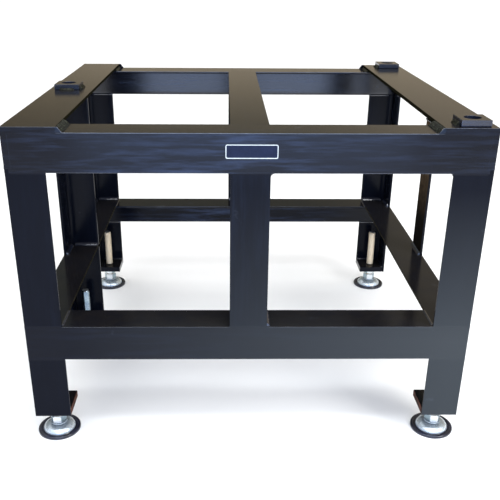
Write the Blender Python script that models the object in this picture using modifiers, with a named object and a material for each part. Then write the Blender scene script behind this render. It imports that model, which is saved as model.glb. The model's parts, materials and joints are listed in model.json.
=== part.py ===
"""Surface plate stand: a welded frame of steel angle on five screw-adjusted swivel feet, with three support pads.

Metres, +Z up. The front faces -Y, and the origin is on the floor under the middle of the frame.
"""
import math

import bmesh
import bpy
from mathutils import Matrix, Vector

# Frame, outside sizes
FRAME_WIDTH = 0.900
FRAME_DEPTH = 0.825
FRAME_HEIGHT = 0.620              # leg ends to the top of the side rails
LOWER_RAIL_HEIGHT = 0.215         # leg ends to the top of the lower rails

# Equal angle of the legs, posts, cross rails and lower rails
ANGLE_FLANGE = 0.075
ANGLE_WALL = 0.006
ANGLE_ROOT_RADIUS = 0.0085
ANGLE_TOE_RADIUS = 0.004

# Unequal angle of the side rails
SIDE_RAIL_WIDTH = 0.100
SIDE_RAIL_DROP = 0.075
SIDE_RAIL_WALL = 0.010
SIDE_RAIL_ROOT_RADIUS = 0.010
SIDE_RAIL_TOE_RADIUS = 0.007

# Flat bar in the middle of the right side
FLAT_POST_WIDTH = 0.075
FLAT_POST_THICKNESS = 0.006

# Support pads on the side rails
PAD_SIDE = 0.056
PAD_HEIGHT = 0.012
PAD_HOLE_RADIUS = 0.016
PAD_EDGE = 0.0008                 # small chamfer round the pad
PAD_SIDE_INSET = 0.041            # frame's side to pad centre
PAD_FRONT_INSET = 0.038           # frame's front to the front pad's centre
PAD_BACK_INSET = 0.046            # frame's back to the back pad's centre

# Foot plates, each welded into the end of a leg
FOOT_PLATE_THICKNESS = 0.015
FOOT_INSET = 0.038                # outer faces of a leg to its foot's axis

# Threaded stud with its hexagon and ball end
STUD_RADIUS = 0.010
STUD_END_CHAMFER = 0.0015
STUD_STANDING = 0.104             # above the foot plate of a corner leg
SHORT_STUD_STANDING = 0.085       # above the foot plate of the middle leg
THREAD_CLEARANCE = 0.0004         # stud to the hole it turns in
SHOULDER_DROP = 0.0005            # height of the cone between stud and neck
NECK_RADIUS = 0.0055
NECK_LENGTH = 0.0003
BALL_RADIUS = 0.0085
BALL_FLAT_DROP = 0.0045           # ball centre to the flat under the ball

# Hexagons, of the stud and of the lock nut
HEX_ACROSS_FLATS = 0.030
HEX_CHAMFER = 0.0015
HEX_HEIGHT = 0.016
LOCK_NUT_HEIGHT = 0.016
LOCK_NUT_TRAVEL = 0.0029          # lock nut to hexagon with the foot screwed in

# Washer between hexagon and cup
WASHER_RADIUS = 0.0185
WASHER_THICKNESS = 0.0025
WASHER_BORE_CLEARANCE = 0.0006
SWIVEL_GAP = 0.0019               # washer to the cup's crown, so that the cup can tilt

# Ball seat, inside the cup's pocket
SEAT_WALL = 0.0014
SEAT_FLOOR = 0.0011
SEAT_FLOOR_GAP = 0.0009           # under the ball's flat
SEAT_LIP_DEPTH = 0.0008           # cup's crown to the top of the seat
BALL_CLEARANCE = 0.0004

# Domed cup
CUP_RADIUS = 0.034
CUP_CROWN_RADIUS = 0.0155
CUP_RIM_HEIGHT = 0.0012
CUP_FLOOR = 0.0016
POCKET_CLEARANCE = 0.0004
POCKET_FLOOR_GAP = 0.0010         # under the ball seat

# Rubber ring
RUBBER_RADIUS = 0.0455
RUBBER_FLOOR = 0.0027
RUBBER_LIP_HEIGHT = 0.0050        # where the rubber meets the cup
RUBBER_RIM_HEIGHT = 0.0064
RUBBER_RIM_ROUNDING = 0.0032
RUBBER_FOOT_CHAMFER = 0.0008

# Clearances
GAP = 0.0003                      # between pieces that touch
OVERRUN = 0.005                   # of a cutter past what it cuts

# Facets
FILLET_STEPS = 4
TOE_STEPS = 3
HOLE_SIDES = 24
STUD_SIDES = 20
CUP_SIDES = 24
CHAMFER_SIDES = 12                # of the cone that takes the corners off a hexagon
BALL_STEPS = 4
DOME_STEPS = 5
SHARP_ANGLE = math.radians(31)    # edges sharper than this show as edges
MERGE_DISTANCE = 0.00001

# Levels, from the floor up
CUP_BOTTOM = RUBBER_FLOOR + GAP
SEAT_INNER_RADIUS = BALL_RADIUS + BALL_CLEARANCE
SEAT_OUTER_RADIUS = SEAT_INNER_RADIUS + SEAT_WALL
POCKET_RADIUS = SEAT_OUTER_RADIUS + POCKET_CLEARANCE
SEAT_TOP_OF_FLOOR_DROP = BALL_FLAT_DROP + SEAT_FLOOR_GAP
SEAT_BOTTOM_DROP = SEAT_TOP_OF_FLOOR_DROP + SEAT_FLOOR
POCKET_FLOOR_DROP = SEAT_BOTTOM_DROP + POCKET_FLOOR_GAP
BALL_CENTRE = CUP_BOTTOM + CUP_FLOOR + POCKET_FLOOR_DROP
NECK_BOTTOM_RISE = math.sqrt(BALL_RADIUS ** 2 - NECK_RADIUS ** 2)
NECK_TOP_RISE = NECK_BOTTOM_RISE + NECK_LENGTH
CUP_CROWN_RISE = NECK_TOP_RISE + SHOULDER_DROP - SWIVEL_GAP
SEAT_LIP_RISE = CUP_CROWN_RISE - SEAT_LIP_DEPTH
CROWN_TOP = BALL_CENTRE + CUP_CROWN_RISE
WASHER_BOTTOM = CROWN_TOP + SWIVEL_GAP
HEX_BOTTOM = WASHER_BOTTOM + WASHER_THICKNESS + GAP
LOCK_NUT_BOTTOM = HEX_BOTTOM + HEX_HEIGHT + LOCK_NUT_TRAVEL
LEG_END = LOCK_NUT_BOTTOM + LOCK_NUT_HEIGHT + GAP
LOWER_TOP = LEG_END + LOWER_RAIL_HEIGHT
LOWER_BOTTOM = LOWER_TOP - ANGLE_FLANGE
FRAME_TOP = LEG_END + FRAME_HEIGHT
SIDE_RAIL_BOTTOM = FRAME_TOP - SIDE_RAIL_DROP
CROSS_TOP = FRAME_TOP - SIDE_RAIL_WALL - GAP
CROSS_BOTTOM = CROSS_TOP - ANGLE_FLANGE

# Places across the frame
HALF_WIDTH = FRAME_WIDTH / 2
HALF_DEPTH = FRAME_DEPTH / 2
HALF_FLANGE = ANGLE_FLANGE / 2

COLLECTION_NAME = "surface_plate_stand"

X = Vector((1, 0, 0))
Y = Vector((0, 1, 0))
Z = Vector((0, 0, 1))


# Scene and materials

def clear_scene():
    for item in list(bpy.data.objects):
        bpy.data.objects.remove(item, do_unlink=True)


def new_collection(name):
    collection = bpy.data.collections.new(name)
    bpy.context.scene.collection.children.link(collection)
    return collection


def new_material(name, colour, roughness, metallic):
    material = bpy.data.materials.new(name)
    material.use_nodes = True
    shader = material.node_tree.nodes["Principled BSDF"]
    shader.inputs["Base Color"].default_value = (*colour, 1)
    shader.inputs["Roughness"].default_value = roughness
    shader.inputs["Metallic"].default_value = metallic
    return material


FINISHES = {
    "paint": ((0.020, 0.024, 0.040), 0.38, 0.0),
    "pad_paint": ((0.026, 0.030, 0.048), 0.42, 0.0),
    "zinc": ((0.72, 0.70, 0.64), 0.30, 1.0),
    "nylon": ((0.80, 0.79, 0.74), 0.50, 0.0),
    "rubber": ((0.012, 0.012, 0.020), 0.55, 0.0),
}


def finish(piece, name):
    """Gives a piece its own material."""
    piece.data.materials.clear()
    piece.data.materials.append(new_material(piece.name + "_finish", *FINISHES[name]))


# Tools

def put_in(piece, collection):
    for old in list(piece.users_collection):
        old.objects.unlink(piece)
    collection.objects.link(piece)


def smooth_rounds(mesh):
    """Shades round faces smooth and keeps the edges between faces sharp."""
    mesh.shade_smooth()
    mesh.set_sharp_from_angle(angle=SHARP_ANGLE)


def make_mesh(shape):
    """Turns a filled curve or a turned profile into a closed mesh object that Booleans can use."""
    bpy.context.view_layer.update()
    evaluated = shape.evaluated_get(bpy.context.evaluated_depsgraph_get())
    mesh = bpy.data.meshes.new_from_object(evaluated)
    welded = bmesh.new()
    welded.from_mesh(mesh)
    bmesh.ops.remove_doubles(welded, verts=welded.verts, dist=MERGE_DISTANCE)
    welded.to_mesh(mesh)
    welded.free()
    smooth_rounds(mesh)
    name = shape.name
    matrix = shape.matrix_world.copy()
    bpy.data.objects.remove(shape, do_unlink=True)
    piece = bpy.data.objects.new(name, mesh)
    bpy.context.scene.collection.objects.link(piece)
    piece.matrix_world = matrix
    return piece


def extruded(name, outlines, length, frame_matrix):
    """A flat shape, with any holes as further outlines, extruded along its own Z and centred on it."""
    curve = bpy.data.curves.new(name, "CURVE")
    curve.dimensions = "2D"
    curve.fill_mode = "BOTH"
    curve.extrude = length / 2
    for outline in outlines:
        spline = curve.splines.new("POLY")
        spline.points.add(len(outline) - 1)
        spline.use_cyclic_u = True
        for point, (x, y) in zip(spline.points, outline):
            point.co = (x, y, 0, 1)
    shape = bpy.data.objects.new(name, curve)
    bpy.context.scene.collection.objects.link(shape)
    shape.matrix_world = frame_matrix
    return make_mesh(shape)


def place_in_mesh(piece):
    """Gives a piece the world's origin and leaves its shape where it is."""
    piece.data.transform(piece.matrix_world)
    piece.matrix_world = Matrix.Identity(4)


def arc(centre, radius, start, end, steps):
    """Points of an arc in a plane, angles in degrees."""
    points = []
    for step in range(steps + 1):
        angle = math.radians(start + (end - start) * step / steps)
        points.append((centre[0] + radius * math.cos(angle), centre[1] + radius * math.sin(angle)))
    return points


def circle(centre, radius, sides):
    return arc(centre, radius, 0, 360 * (sides - 1) / sides, sides - 1)


def box(name, low, high):
    """An upright box between two corners."""
    low = Vector(low)
    high = Vector(high)
    bpy.ops.mesh.primitive_cube_add(size=1, location=(low + high) / 2)
    piece = bpy.context.object
    piece.name = name
    piece.data.transform(Matrix.Diagonal((*(high - low), 1)))
    return piece


def add_boolean(piece, tool, operation):
    """Combines a piece with a tool, which stays in the cutters' collection."""
    tool.hide_render = True
    tool.display_type = "WIRE"
    put_in(tool, cutters)
    modifier = piece.modifiers.new(operation.title(), "BOOLEAN")
    modifier.operation = operation
    modifier.solver = "EXACT"
    modifier.object = tool


def cut_box(piece, low, high):
    add_boolean(piece, box(piece.name + "_cutter", low, high), "DIFFERENCE")


def turned(name, profile, sides):
    """A body turned about its own Z: the profile runs down its outer side, as (radius, height) points."""
    mesh = bpy.data.meshes.new(name)
    points = [(radius, 0, height) for radius, height in profile]
    edges = [(index, index + 1) for index in range(len(points) - 1)]
    if profile[0][0] > 0:
        edges.append((len(points) - 1, 0))
    mesh.from_pydata(points, edges, [])
    outline = bpy.data.objects.new(name, mesh)
    bpy.context.scene.collection.objects.link(outline)
    screw = outline.modifiers.new("Turn", "SCREW")
    screw.steps = sides
    screw.render_steps = sides
    screw.use_merge_vertices = True
    screw.merge_threshold = MERGE_DISTANCE
    return make_mesh(outline)


# Angle bars

EQUAL_ANGLE = (ANGLE_WALL, ANGLE_ROOT_RADIUS, ANGLE_TOE_RADIUS)
UNEQUAL_ANGLE = (SIDE_RAIL_WALL, SIDE_RAIL_ROOT_RADIUS, SIDE_RAIL_TOE_RADIUS)


def angle_outline(first, second, section):
    """The rolled section: heel at the origin, flanges along +X and +Y, filleted root and rounded toes."""
    wall, root, toe = section
    outline = [(0, 0), (first, 0)]
    outline += arc((first - toe, wall - toe), toe, 0, 90, TOE_STEPS)
    outline += arc((wall + root, wall + root), root, 270, 180, FILLET_STEPS)
    outline += arc((wall - toe, second - toe), toe, 0, 90, TOE_STEPS)
    outline += [(0, second)]
    return outline


def angle_bar(name, heel, along, length, first, second, section=EQUAL_ANGLE):
    """An angle bar that starts at heel and runs along an axis.

    first and second are (direction, flange width).
    """
    if first[0].cross(second[0]).dot(along) < 0:
        first, second = second, first
    rotation = Matrix((first[0], second[0], along)).transposed().to_4x4()
    place = Matrix.Translation(Vector(heel) + along * length / 2) @ rotation
    return extruded(name, [angle_outline(first[1], second[1], section)], length, place)


def side_rail(name, side):
    """A rail along one side, wide flange on top, lying on the two cross rails."""
    heel = (side * HALF_WIDTH, -HALF_DEPTH, FRAME_TOP)
    top_flange = (-side * X, SIDE_RAIL_WIDTH)
    drop_flange = (-Z, SIDE_RAIL_DROP)
    return angle_bar(name, heel, Y, FRAME_DEPTH, top_flange, drop_flange, UNEQUAL_ANGLE)


def corner_cutter(name, side, corner, radius, length):
    """What lies outside a rounded upper corner of a bar that runs along X, seen from the front."""
    outline = [(OVERRUN, -radius), (OVERRUN, OVERRUN), (-radius, OVERRUN)]
    outline += arc((-radius, -radius), radius, 90, 0, FILLET_STEPS)
    upright = Matrix.Translation(corner) @ Matrix.Rotation(math.radians(90), 4, "X")
    return extruded(name, [[(side * x, y) for x, y in outline]], length, upright)


def cross_rail(name, end):
    """The front (end -1) or back (end 1) top rail, between the side rails' outer flanges.

    Its upper corners are rounded like the side rails' root fillets, which they fit into.
    """
    half_length = HALF_WIDTH - SIDE_RAIL_WALL - GAP
    heel = (-half_length, end * HALF_DEPTH, CROSS_TOP)
    rail = angle_bar(name, heel, X, 2 * half_length, (-end * Y, ANGLE_FLANGE), (-Z, ANGLE_FLANGE))
    for side in (-1, 1):
        corner = (side * half_length, end * (HALF_DEPTH - HALF_FLANGE), CROSS_TOP)
        length = ANGLE_FLANGE + 2 * OVERRUN
        cutter = corner_cutter(name + "_cutter", side, corner, SIDE_RAIL_ROOT_RADIUS, length)
        add_boolean(rail, cutter, "DIFFERENCE")
    return rail


def centre_beam():
    """The beam between the cross rails: its web reaches in under their flanges."""
    flange_start = -HALF_DEPTH + ANGLE_FLANGE + GAP
    web_start = -HALF_DEPTH + ANGLE_WALL + ANGLE_ROOT_RADIUS + GAP
    heel = (HALF_FLANGE, web_start, CROSS_TOP)
    beam = angle_bar("centre_beam", heel, Y, -2 * web_start, (-X, ANGLE_FLANGE), (-Z, ANGLE_FLANGE))
    for end in (-1, 1):
        ends = sorted((end * -flange_start, end * (HALF_DEPTH + OVERRUN)))
        cut_box(
            beam,
            (-HALF_FLANGE - OVERRUN, ends[0], CROSS_TOP - ANGLE_WALL - GAP),
            (HALF_FLANGE + OVERRUN, ends[1], CROSS_TOP + OVERRUN),
        )
    return beam


def upper_leg(name, side, end):
    """A corner leg between the lower rails and the two top rails that meet above it.

    One flange ends under the side rail and the other under the cross rail, so its top is stepped.
    """
    under_side_rail = SIDE_RAIL_BOTTOM - GAP
    under_cross_rail = CROSS_BOTTOM - GAP
    bottom = LOWER_TOP + GAP
    top = max(under_side_rail, under_cross_rail)
    heel = (side * HALF_WIDTH, end * HALF_DEPTH, bottom)
    leg = angle_bar(name, heel, Z, top - bottom, (-side * X, ANGLE_FLANGE), (-end * Y, ANGLE_FLANGE))
    step = HALF_WIDTH - SIDE_RAIL_WALL
    if under_side_rail > under_cross_rail:
        across = (step, HALF_WIDTH - ANGLE_FLANGE - OVERRUN)
    else:
        across = (HALF_WIDTH + OVERRUN, step)
    low_x, high_x = sorted((side * across[0], side * across[1]))
    low_y, high_y = sorted((end * (HALF_DEPTH + OVERRUN), end * (HALF_DEPTH - ANGLE_FLANGE - OVERRUN)))
    low_z = min(under_side_rail, under_cross_rail)
    if top > low_z:
        cut_box(leg, (low_x, low_y, low_z), (high_x, high_y, top + OVERRUN))
    return leg


def centre_post(name, end):
    """The post in the middle of the front or back: one flange flush with the rails, one pointing inwards."""
    bottom = LOWER_TOP + GAP
    heel = (HALF_FLANGE, end * HALF_DEPTH, bottom)
    length = CROSS_BOTTOM - GAP - bottom
    return angle_bar(name, heel, Z, length, (-X, ANGLE_FLANGE), (-end * Y, ANGLE_FLANGE))


def coped_side_post(name, bottom, side_top, cross_top, cope_width):
    """An angle in the middle of the left side, under a rail.

    Its side flange ends under the rail's outer flange. Its cross flange, at the back, reaches the
    underside of the rail's top flange, and is cut away round the rail's outer flange and root.
    """
    heel = (-HALF_WIDTH, HALF_FLANGE, bottom)
    post = angle_bar(name, heel, Z, cross_top - bottom, (X, ANGLE_FLANGE), (-Y, ANGLE_FLANGE))
    cut_box(
        post,
        (-HALF_WIDTH - OVERRUN, -HALF_FLANGE - OVERRUN, side_top),
        (-HALF_WIDTH + cope_width, HALF_FLANGE + OVERRUN, cross_top + OVERRUN),
    )
    return post


def left_mid_post():
    return coped_side_post(
        "left_mid_post",
        LOWER_TOP + GAP,
        SIDE_RAIL_BOTTOM - GAP,
        FRAME_TOP - SIDE_RAIL_WALL - GAP,
        SIDE_RAIL_WALL + SIDE_RAIL_ROOT_RADIUS + GAP,
    )


def right_mid_post():
    """A flat bar in the plane of the right side."""
    return box(
        "right_mid_post",
        (HALF_WIDTH - FLAT_POST_THICKNESS, -FLAT_POST_WIDTH / 2, LOWER_TOP + GAP),
        (HALF_WIDTH, FLAT_POST_WIDTH / 2, SIDE_RAIL_BOTTOM - GAP),
    )


def cross_lower_rail(name, end):
    """The front or back lower rail: its outer flange runs across the corners, its top flange stops at the sides."""
    heel = (-HALF_WIDTH, end * HALF_DEPTH, LOWER_TOP)
    rail = angle_bar(name, heel, X, FRAME_WIDTH, (-end * Y, ANGLE_FLANGE), (-Z, ANGLE_FLANGE))
    low_y, high_y = sorted((end * (HALF_DEPTH - ANGLE_WALL), end * (HALF_DEPTH - ANGLE_FLANGE - OVERRUN)))
    for side in (-1, 1):
        inner = HALF_WIDTH - ANGLE_FLANGE - GAP
        low_x, high_x = sorted((side * inner, side * (HALF_WIDTH + OVERRUN)))
        cut_box(rail, (low_x, low_y, LOWER_BOTTOM - OVERRUN), (high_x, high_y, LOWER_TOP + OVERRUN))
    return rail


def side_lower_rail(name, side):
    """A lower rail along one side, between the outer flanges of the front and back ones."""
    half_length = HALF_DEPTH - ANGLE_WALL - GAP
    heel = (side * HALF_WIDTH, -half_length, LOWER_TOP)
    return angle_bar(name, heel, Y, 2 * half_length, (-side * X, ANGLE_FLANGE), (-Z, ANGLE_FLANGE))


def lower_leg(name, side, end):
    heel = (side * HALF_WIDTH, end * HALF_DEPTH, LEG_END)
    length = LOWER_BOTTOM - GAP - LEG_END
    return angle_bar(name, heel, Z, length, (-side * X, ANGLE_FLANGE), (-end * Y, ANGLE_FLANGE))


def mid_lower_leg():
    return coped_side_post(
        "lower_leg_mid_left",
        LEG_END,
        LOWER_BOTTOM - GAP,
        LOWER_TOP - ANGLE_WALL - GAP,
        ANGLE_WALL + ANGLE_ROOT_RADIUS + GAP,
    )


# Feet: the inner corner of each leg and the place of its axis

def leg_corner(foot):
    """Where the outer faces of a foot's leg meet, and the direction from there to its axis."""
    side, end = foot["toward"]
    if foot["middle"]:
        return Vector((side * HALF_WIDTH, HALF_FLANGE, 0)), Vector((-side, -1, 0))
    return Vector((side * HALF_WIDTH, end * HALF_DEPTH, 0)), Vector((-side, -end, 0))


def foot_axis(foot):
    corner, inward = leg_corner(foot)
    return corner + FOOT_INSET * inward


FEET = {
    "front_left": {"toward": (-1, -1), "middle": False, "standing": STUD_STANDING},
    "front_right": {"toward": (1, -1), "middle": False, "standing": STUD_STANDING},
    "back_left": {"toward": (-1, 1), "middle": False, "standing": STUD_STANDING},
    "back_right": {"toward": (1, 1), "middle": False, "standing": STUD_STANDING},
    "mid_left": {"toward": (-1, 1), "middle": True, "standing": SHORT_STUD_STANDING},
}


def foot_plate(name, foot):
    """The plate in the end of a leg: it fills the angle up to the toes, round its root, and has the foot's hole."""
    corner, inward = leg_corner(foot)
    near = ANGLE_WALL + GAP
    rounding = ANGLE_ROOT_RADIUS
    outline = arc((near + rounding, near + rounding), rounding, 180, 270, FILLET_STEPS)
    outline += [(ANGLE_FLANGE, near), (ANGLE_FLANGE, ANGLE_FLANGE), (near, ANGLE_FLANGE)]
    hole = circle((FOOT_INSET, FOOT_INSET), STUD_RADIUS + THREAD_CLEARANCE, HOLE_SIDES)
    shapes = [[(x * inward.x, y * inward.y) for x, y in shape] for shape in (outline, hole)]
    middle = Vector((corner.x, corner.y, LEG_END + FOOT_PLATE_THICKNESS / 2))
    return extruded(name, shapes, FOOT_PLATE_THICKNESS, Matrix.Translation(middle))


def support_pad(name, x, y):
    """A square pad with a round hole, welded on a side rail."""
    half = PAD_SIDE / 2
    square = [(-half, -half), (half, -half), (half, half), (-half, half)]
    hole = circle((0, 0), PAD_HOLE_RADIUS, HOLE_SIDES)
    place = Matrix.Translation((x, y, FRAME_TOP + GAP + PAD_HEIGHT / 2))
    pad = extruded(name, [square, hole], PAD_HEIGHT, place)
    bevel = pad.modifiers.new("Edges", "BEVEL")
    bevel.width = PAD_EDGE
    bevel.segments = 1
    bevel.limit_method = "ANGLE"
    bevel.angle_limit = math.radians(60)
    return pad


# Pieces of a foot. Each is made round its own Z, with its heights counted from the floor.

def ball_arc(radius, low, high, steps):
    """Profile points of a sphere about the ball's centre, between two heights above it, from low to high."""
    start = math.degrees(math.asin(low / radius))
    end = math.degrees(math.asin(high / radius))
    return arc((0, BALL_CENTRE), radius, start, end, steps)


def hexagon(name, bottom, height, holes=()):
    """A hexagon with two of its flats facing front and back, and a cone turned on its corners at both ends."""
    flat_radius = HEX_ACROSS_FLATS / 2
    corner_radius = HEX_ACROSS_FLATS / math.sqrt(3)
    middle = Matrix.Translation((0, 0, bottom + height / 2))
    piece = extruded(name, [circle((0, 0), corner_radius, 6), *holes], height, middle)
    place_in_mesh(piece)
    outer = corner_radius + OVERRUN
    slope = HEX_CHAMFER / (corner_radius - flat_radius)
    apex = slope * flat_radius
    fall = slope * (outer - flat_radius)
    top = bottom + height
    double_cone = [(0, top + apex), (outer, top - fall), (outer, bottom + fall), (0, bottom - apex)]
    add_boolean(piece, turned(name + "_cones", double_cone, CHAMFER_SIDES), "INTERSECT")
    return piece


def stud(name, standing):
    """The threaded stud: rod, hexagon, neck and ball with a flat under it."""
    top = LEG_END + FOOT_PLATE_THICKNESS + standing
    profile = [
        (0, top),
        (STUD_RADIUS - STUD_END_CHAMFER, top),
        (STUD_RADIUS, top - STUD_END_CHAMFER),
        (STUD_RADIUS, WASHER_BOTTOM),
        (NECK_RADIUS, BALL_CENTRE + NECK_TOP_RISE),
    ]
    profile += reversed(ball_arc(BALL_RADIUS, -BALL_FLAT_DROP, NECK_BOTTOM_RISE, BALL_STEPS))
    profile += [(0, BALL_CENTRE - BALL_FLAT_DROP)]
    rod = turned(name, profile, STUD_SIDES)
    add_boolean(rod, hexagon(name + "_hexagon", HEX_BOTTOM, HEX_HEIGHT), "UNION")
    return rod


def lock_nut(name):
    bore = circle((0, 0), STUD_RADIUS + THREAD_CLEARANCE, HOLE_SIDES)
    return hexagon(name, LOCK_NUT_BOTTOM, LOCK_NUT_HEIGHT, [bore])


def washer(name):
    bore = STUD_RADIUS + WASHER_BORE_CLEARANCE
    top = WASHER_BOTTOM + WASHER_THICKNESS
    profile = [(bore, top), (WASHER_RADIUS, top), (WASHER_RADIUS, WASHER_BOTTOM), (bore, WASHER_BOTTOM)]
    return turned(name, profile, CUP_SIDES)


def ball_seat(name):
    """A seat that wraps the ball past its middle, open at the top and closed by a floor."""
    inside = ball_arc(SEAT_INNER_RADIUS, -SEAT_TOP_OF_FLOOR_DROP, SEAT_LIP_RISE, BALL_STEPS)
    outside = ball_arc(SEAT_OUTER_RADIUS, -SEAT_BOTTOM_DROP, SEAT_LIP_RISE, BALL_STEPS)
    profile = [(0, BALL_CENTRE - SEAT_TOP_OF_FLOOR_DROP)] + inside
    profile += list(reversed(outside)) + [(0, BALL_CENTRE - SEAT_BOTTOM_DROP)]
    return turned(name, profile, CUP_SIDES)


def cup(name):
    """The domed cup with the pocket that holds the ball seat."""
    rim_top = CUP_BOTTOM + CUP_RIM_HEIGHT
    reach = CUP_RADIUS - CUP_CROWN_RADIUS
    rise = CROWN_TOP - rim_top
    profile = [(0, BALL_CENTRE - POCKET_FLOOR_DROP)]
    profile += ball_arc(POCKET_RADIUS, -POCKET_FLOOR_DROP, CUP_CROWN_RISE, BALL_STEPS)
    for step in range(DOME_STEPS + 1):
        angle = math.radians(90 * step / DOME_STEPS)
        profile.append((CUP_CROWN_RADIUS + reach * math.sin(angle), rim_top + rise * math.cos(angle)))
    profile += [(CUP_RADIUS, CUP_BOTTOM), (0, CUP_BOTTOM)]
    return turned(name, profile, CUP_SIDES)


def rubber_ring(name):
    """The rubber base: a floor under the cup and a rim round it, rounded outside."""
    recess = CUP_RADIUS + GAP
    rounding_x = RUBBER_RADIUS - RUBBER_RIM_ROUNDING
    rounding_z = RUBBER_RIM_HEIGHT - RUBBER_RIM_ROUNDING
    profile = [(0, RUBBER_FLOOR), (recess, RUBBER_FLOOR), (recess, RUBBER_LIP_HEIGHT)]
    profile += reversed(arc((rounding_x, rounding_z), RUBBER_RIM_ROUNDING, 0, 90, TOE_STEPS))
    profile += [
        (RUBBER_RADIUS, RUBBER_FOOT_CHAMFER),
        (RUBBER_RADIUS - RUBBER_FOOT_CHAMFER, 0),
        (0, 0),
    ]
    return turned(name, profile, CUP_SIDES)


# Assembly

def add(piece, finish_name):
    put_in(piece, parts)
    finish(piece, finish_name)
    return piece


def build_frame():
    add(side_rail("side_rail_left", -1), "paint")
    add(side_rail("side_rail_right", 1), "paint")
    add(cross_rail("front_top_rail", -1), "paint")
    add(cross_rail("back_top_rail", 1), "paint")
    add(centre_beam(), "paint")
    add(centre_post("front_centre_post", -1), "paint")
    add(centre_post("back_centre_post", 1), "paint")
    add(left_mid_post(), "paint")
    add(right_mid_post(), "paint")
    add(cross_lower_rail("front_lower_rail", -1), "paint")
    add(cross_lower_rail("back_lower_rail", 1), "paint")
    add(side_lower_rail("left_lower_rail", -1), "paint")
    add(side_lower_rail("right_lower_rail", 1), "paint")
    add(mid_lower_leg(), "paint")
    for corner, foot in FEET.items():
        if not foot["middle"]:
            add(upper_leg("upper_leg_" + corner, *foot["toward"]), "paint")
            add(lower_leg("lower_leg_" + corner, *foot["toward"]), "paint")


def build_pads():
    across = HALF_WIDTH - PAD_SIDE_INSET
    add(support_pad("pad_front_right", across, PAD_FRONT_INSET - HALF_DEPTH), "pad_paint")
    add(support_pad("pad_back_right", across, HALF_DEPTH - PAD_BACK_INSET), "pad_paint")
    add(support_pad("pad_mid_left", -across, 0), "pad_paint")


def build_foot(corner, foot):
    """The plate, which stays with the frame, and the moving pieces, which hang from an empty at the ball."""
    add(foot_plate("foot_plate_" + corner, foot), "paint")
    ball = bpy.data.objects.new("foot_" + corner, None)
    ball.location = foot_axis(foot) + Vector((0, 0, BALL_CENTRE))
    parts.objects.link(ball)
    pieces = (
        add(stud("stud_" + corner, foot["standing"]), "zinc"),
        add(lock_nut("lock_nut_" + corner), "zinc"),
        add(washer("washer_" + corner), "zinc"),
        add(ball_seat("ball_seat_" + corner), "nylon"),
        add(cup("cup_" + corner), "zinc"),
        add(rubber_ring("rubber_ring_" + corner), "rubber"),
    )
    for piece in pieces:
        piece.parent = ball
        piece.location = (0, 0, -BALL_CENTRE)
        move_tools_with(piece, ball)


def move_tools_with(piece, ball):
    """Cutters of a turned piece follow it to its place."""
    for modifier in piece.modifiers:
        if modifier.type == "BOOLEAN":
            modifier.object.parent = ball
            modifier.object.location = (0, 0, -BALL_CENTRE)
            move_tools_with(modifier.object, ball)


clear_scene()
parts = new_collection(COLLECTION_NAME)
cutters = new_collection("cutters")
build_frame()
build_pads()
for corner_name, foot_sizes in FEET.items():
    build_foot(corner_name, foot_sizes)
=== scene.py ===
# %% [markdown]
# # A welded stand for a surface plate
# The stand is a table frame of rolled steel angle, painted blue-black, on five screw-adjusted swivel feet.
# Its bars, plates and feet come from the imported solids, which give every size and place.
# This script loads them, works the bars' edges as a grinder would, adds the welds and the small plate,
# models the feet finely, and gives every piece its finish.

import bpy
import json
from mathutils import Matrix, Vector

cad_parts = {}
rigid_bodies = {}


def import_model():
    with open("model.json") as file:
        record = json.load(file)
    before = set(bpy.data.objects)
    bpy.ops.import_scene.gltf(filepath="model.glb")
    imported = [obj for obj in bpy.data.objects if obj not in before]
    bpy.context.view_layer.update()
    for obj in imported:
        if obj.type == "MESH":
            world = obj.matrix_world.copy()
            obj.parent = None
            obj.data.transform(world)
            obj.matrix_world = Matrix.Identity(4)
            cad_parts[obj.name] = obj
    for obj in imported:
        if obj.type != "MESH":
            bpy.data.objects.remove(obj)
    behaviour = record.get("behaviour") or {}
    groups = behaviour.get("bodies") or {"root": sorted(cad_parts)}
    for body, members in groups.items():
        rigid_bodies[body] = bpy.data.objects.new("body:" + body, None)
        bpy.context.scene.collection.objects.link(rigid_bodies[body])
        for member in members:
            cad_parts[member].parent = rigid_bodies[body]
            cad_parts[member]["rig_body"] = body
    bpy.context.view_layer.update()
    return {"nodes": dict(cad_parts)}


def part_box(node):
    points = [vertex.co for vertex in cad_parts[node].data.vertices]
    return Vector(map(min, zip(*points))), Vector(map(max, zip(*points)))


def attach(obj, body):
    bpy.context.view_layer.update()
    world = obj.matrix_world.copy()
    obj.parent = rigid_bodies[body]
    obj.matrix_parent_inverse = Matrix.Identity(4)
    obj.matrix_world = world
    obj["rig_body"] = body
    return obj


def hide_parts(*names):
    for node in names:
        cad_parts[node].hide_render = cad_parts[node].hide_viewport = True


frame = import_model()

# %% [markdown]
# ## Levels and places
# Everything is counted from the solids' own boxes, so that a piece made here goes exactly where its solid is.
# The stand's five feet share one set of levels, and one leg's end gives them all.

# %% Levels and places from the solids
import math

import bmesh
import bpy
from mathutils import Matrix, Vector
from mathutils.bvhtree import BVHTree

nodes = frame["nodes"]
CORNERS = ("front_left", "front_right", "back_left", "back_right", "mid_left")
MM = 0.001

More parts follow.
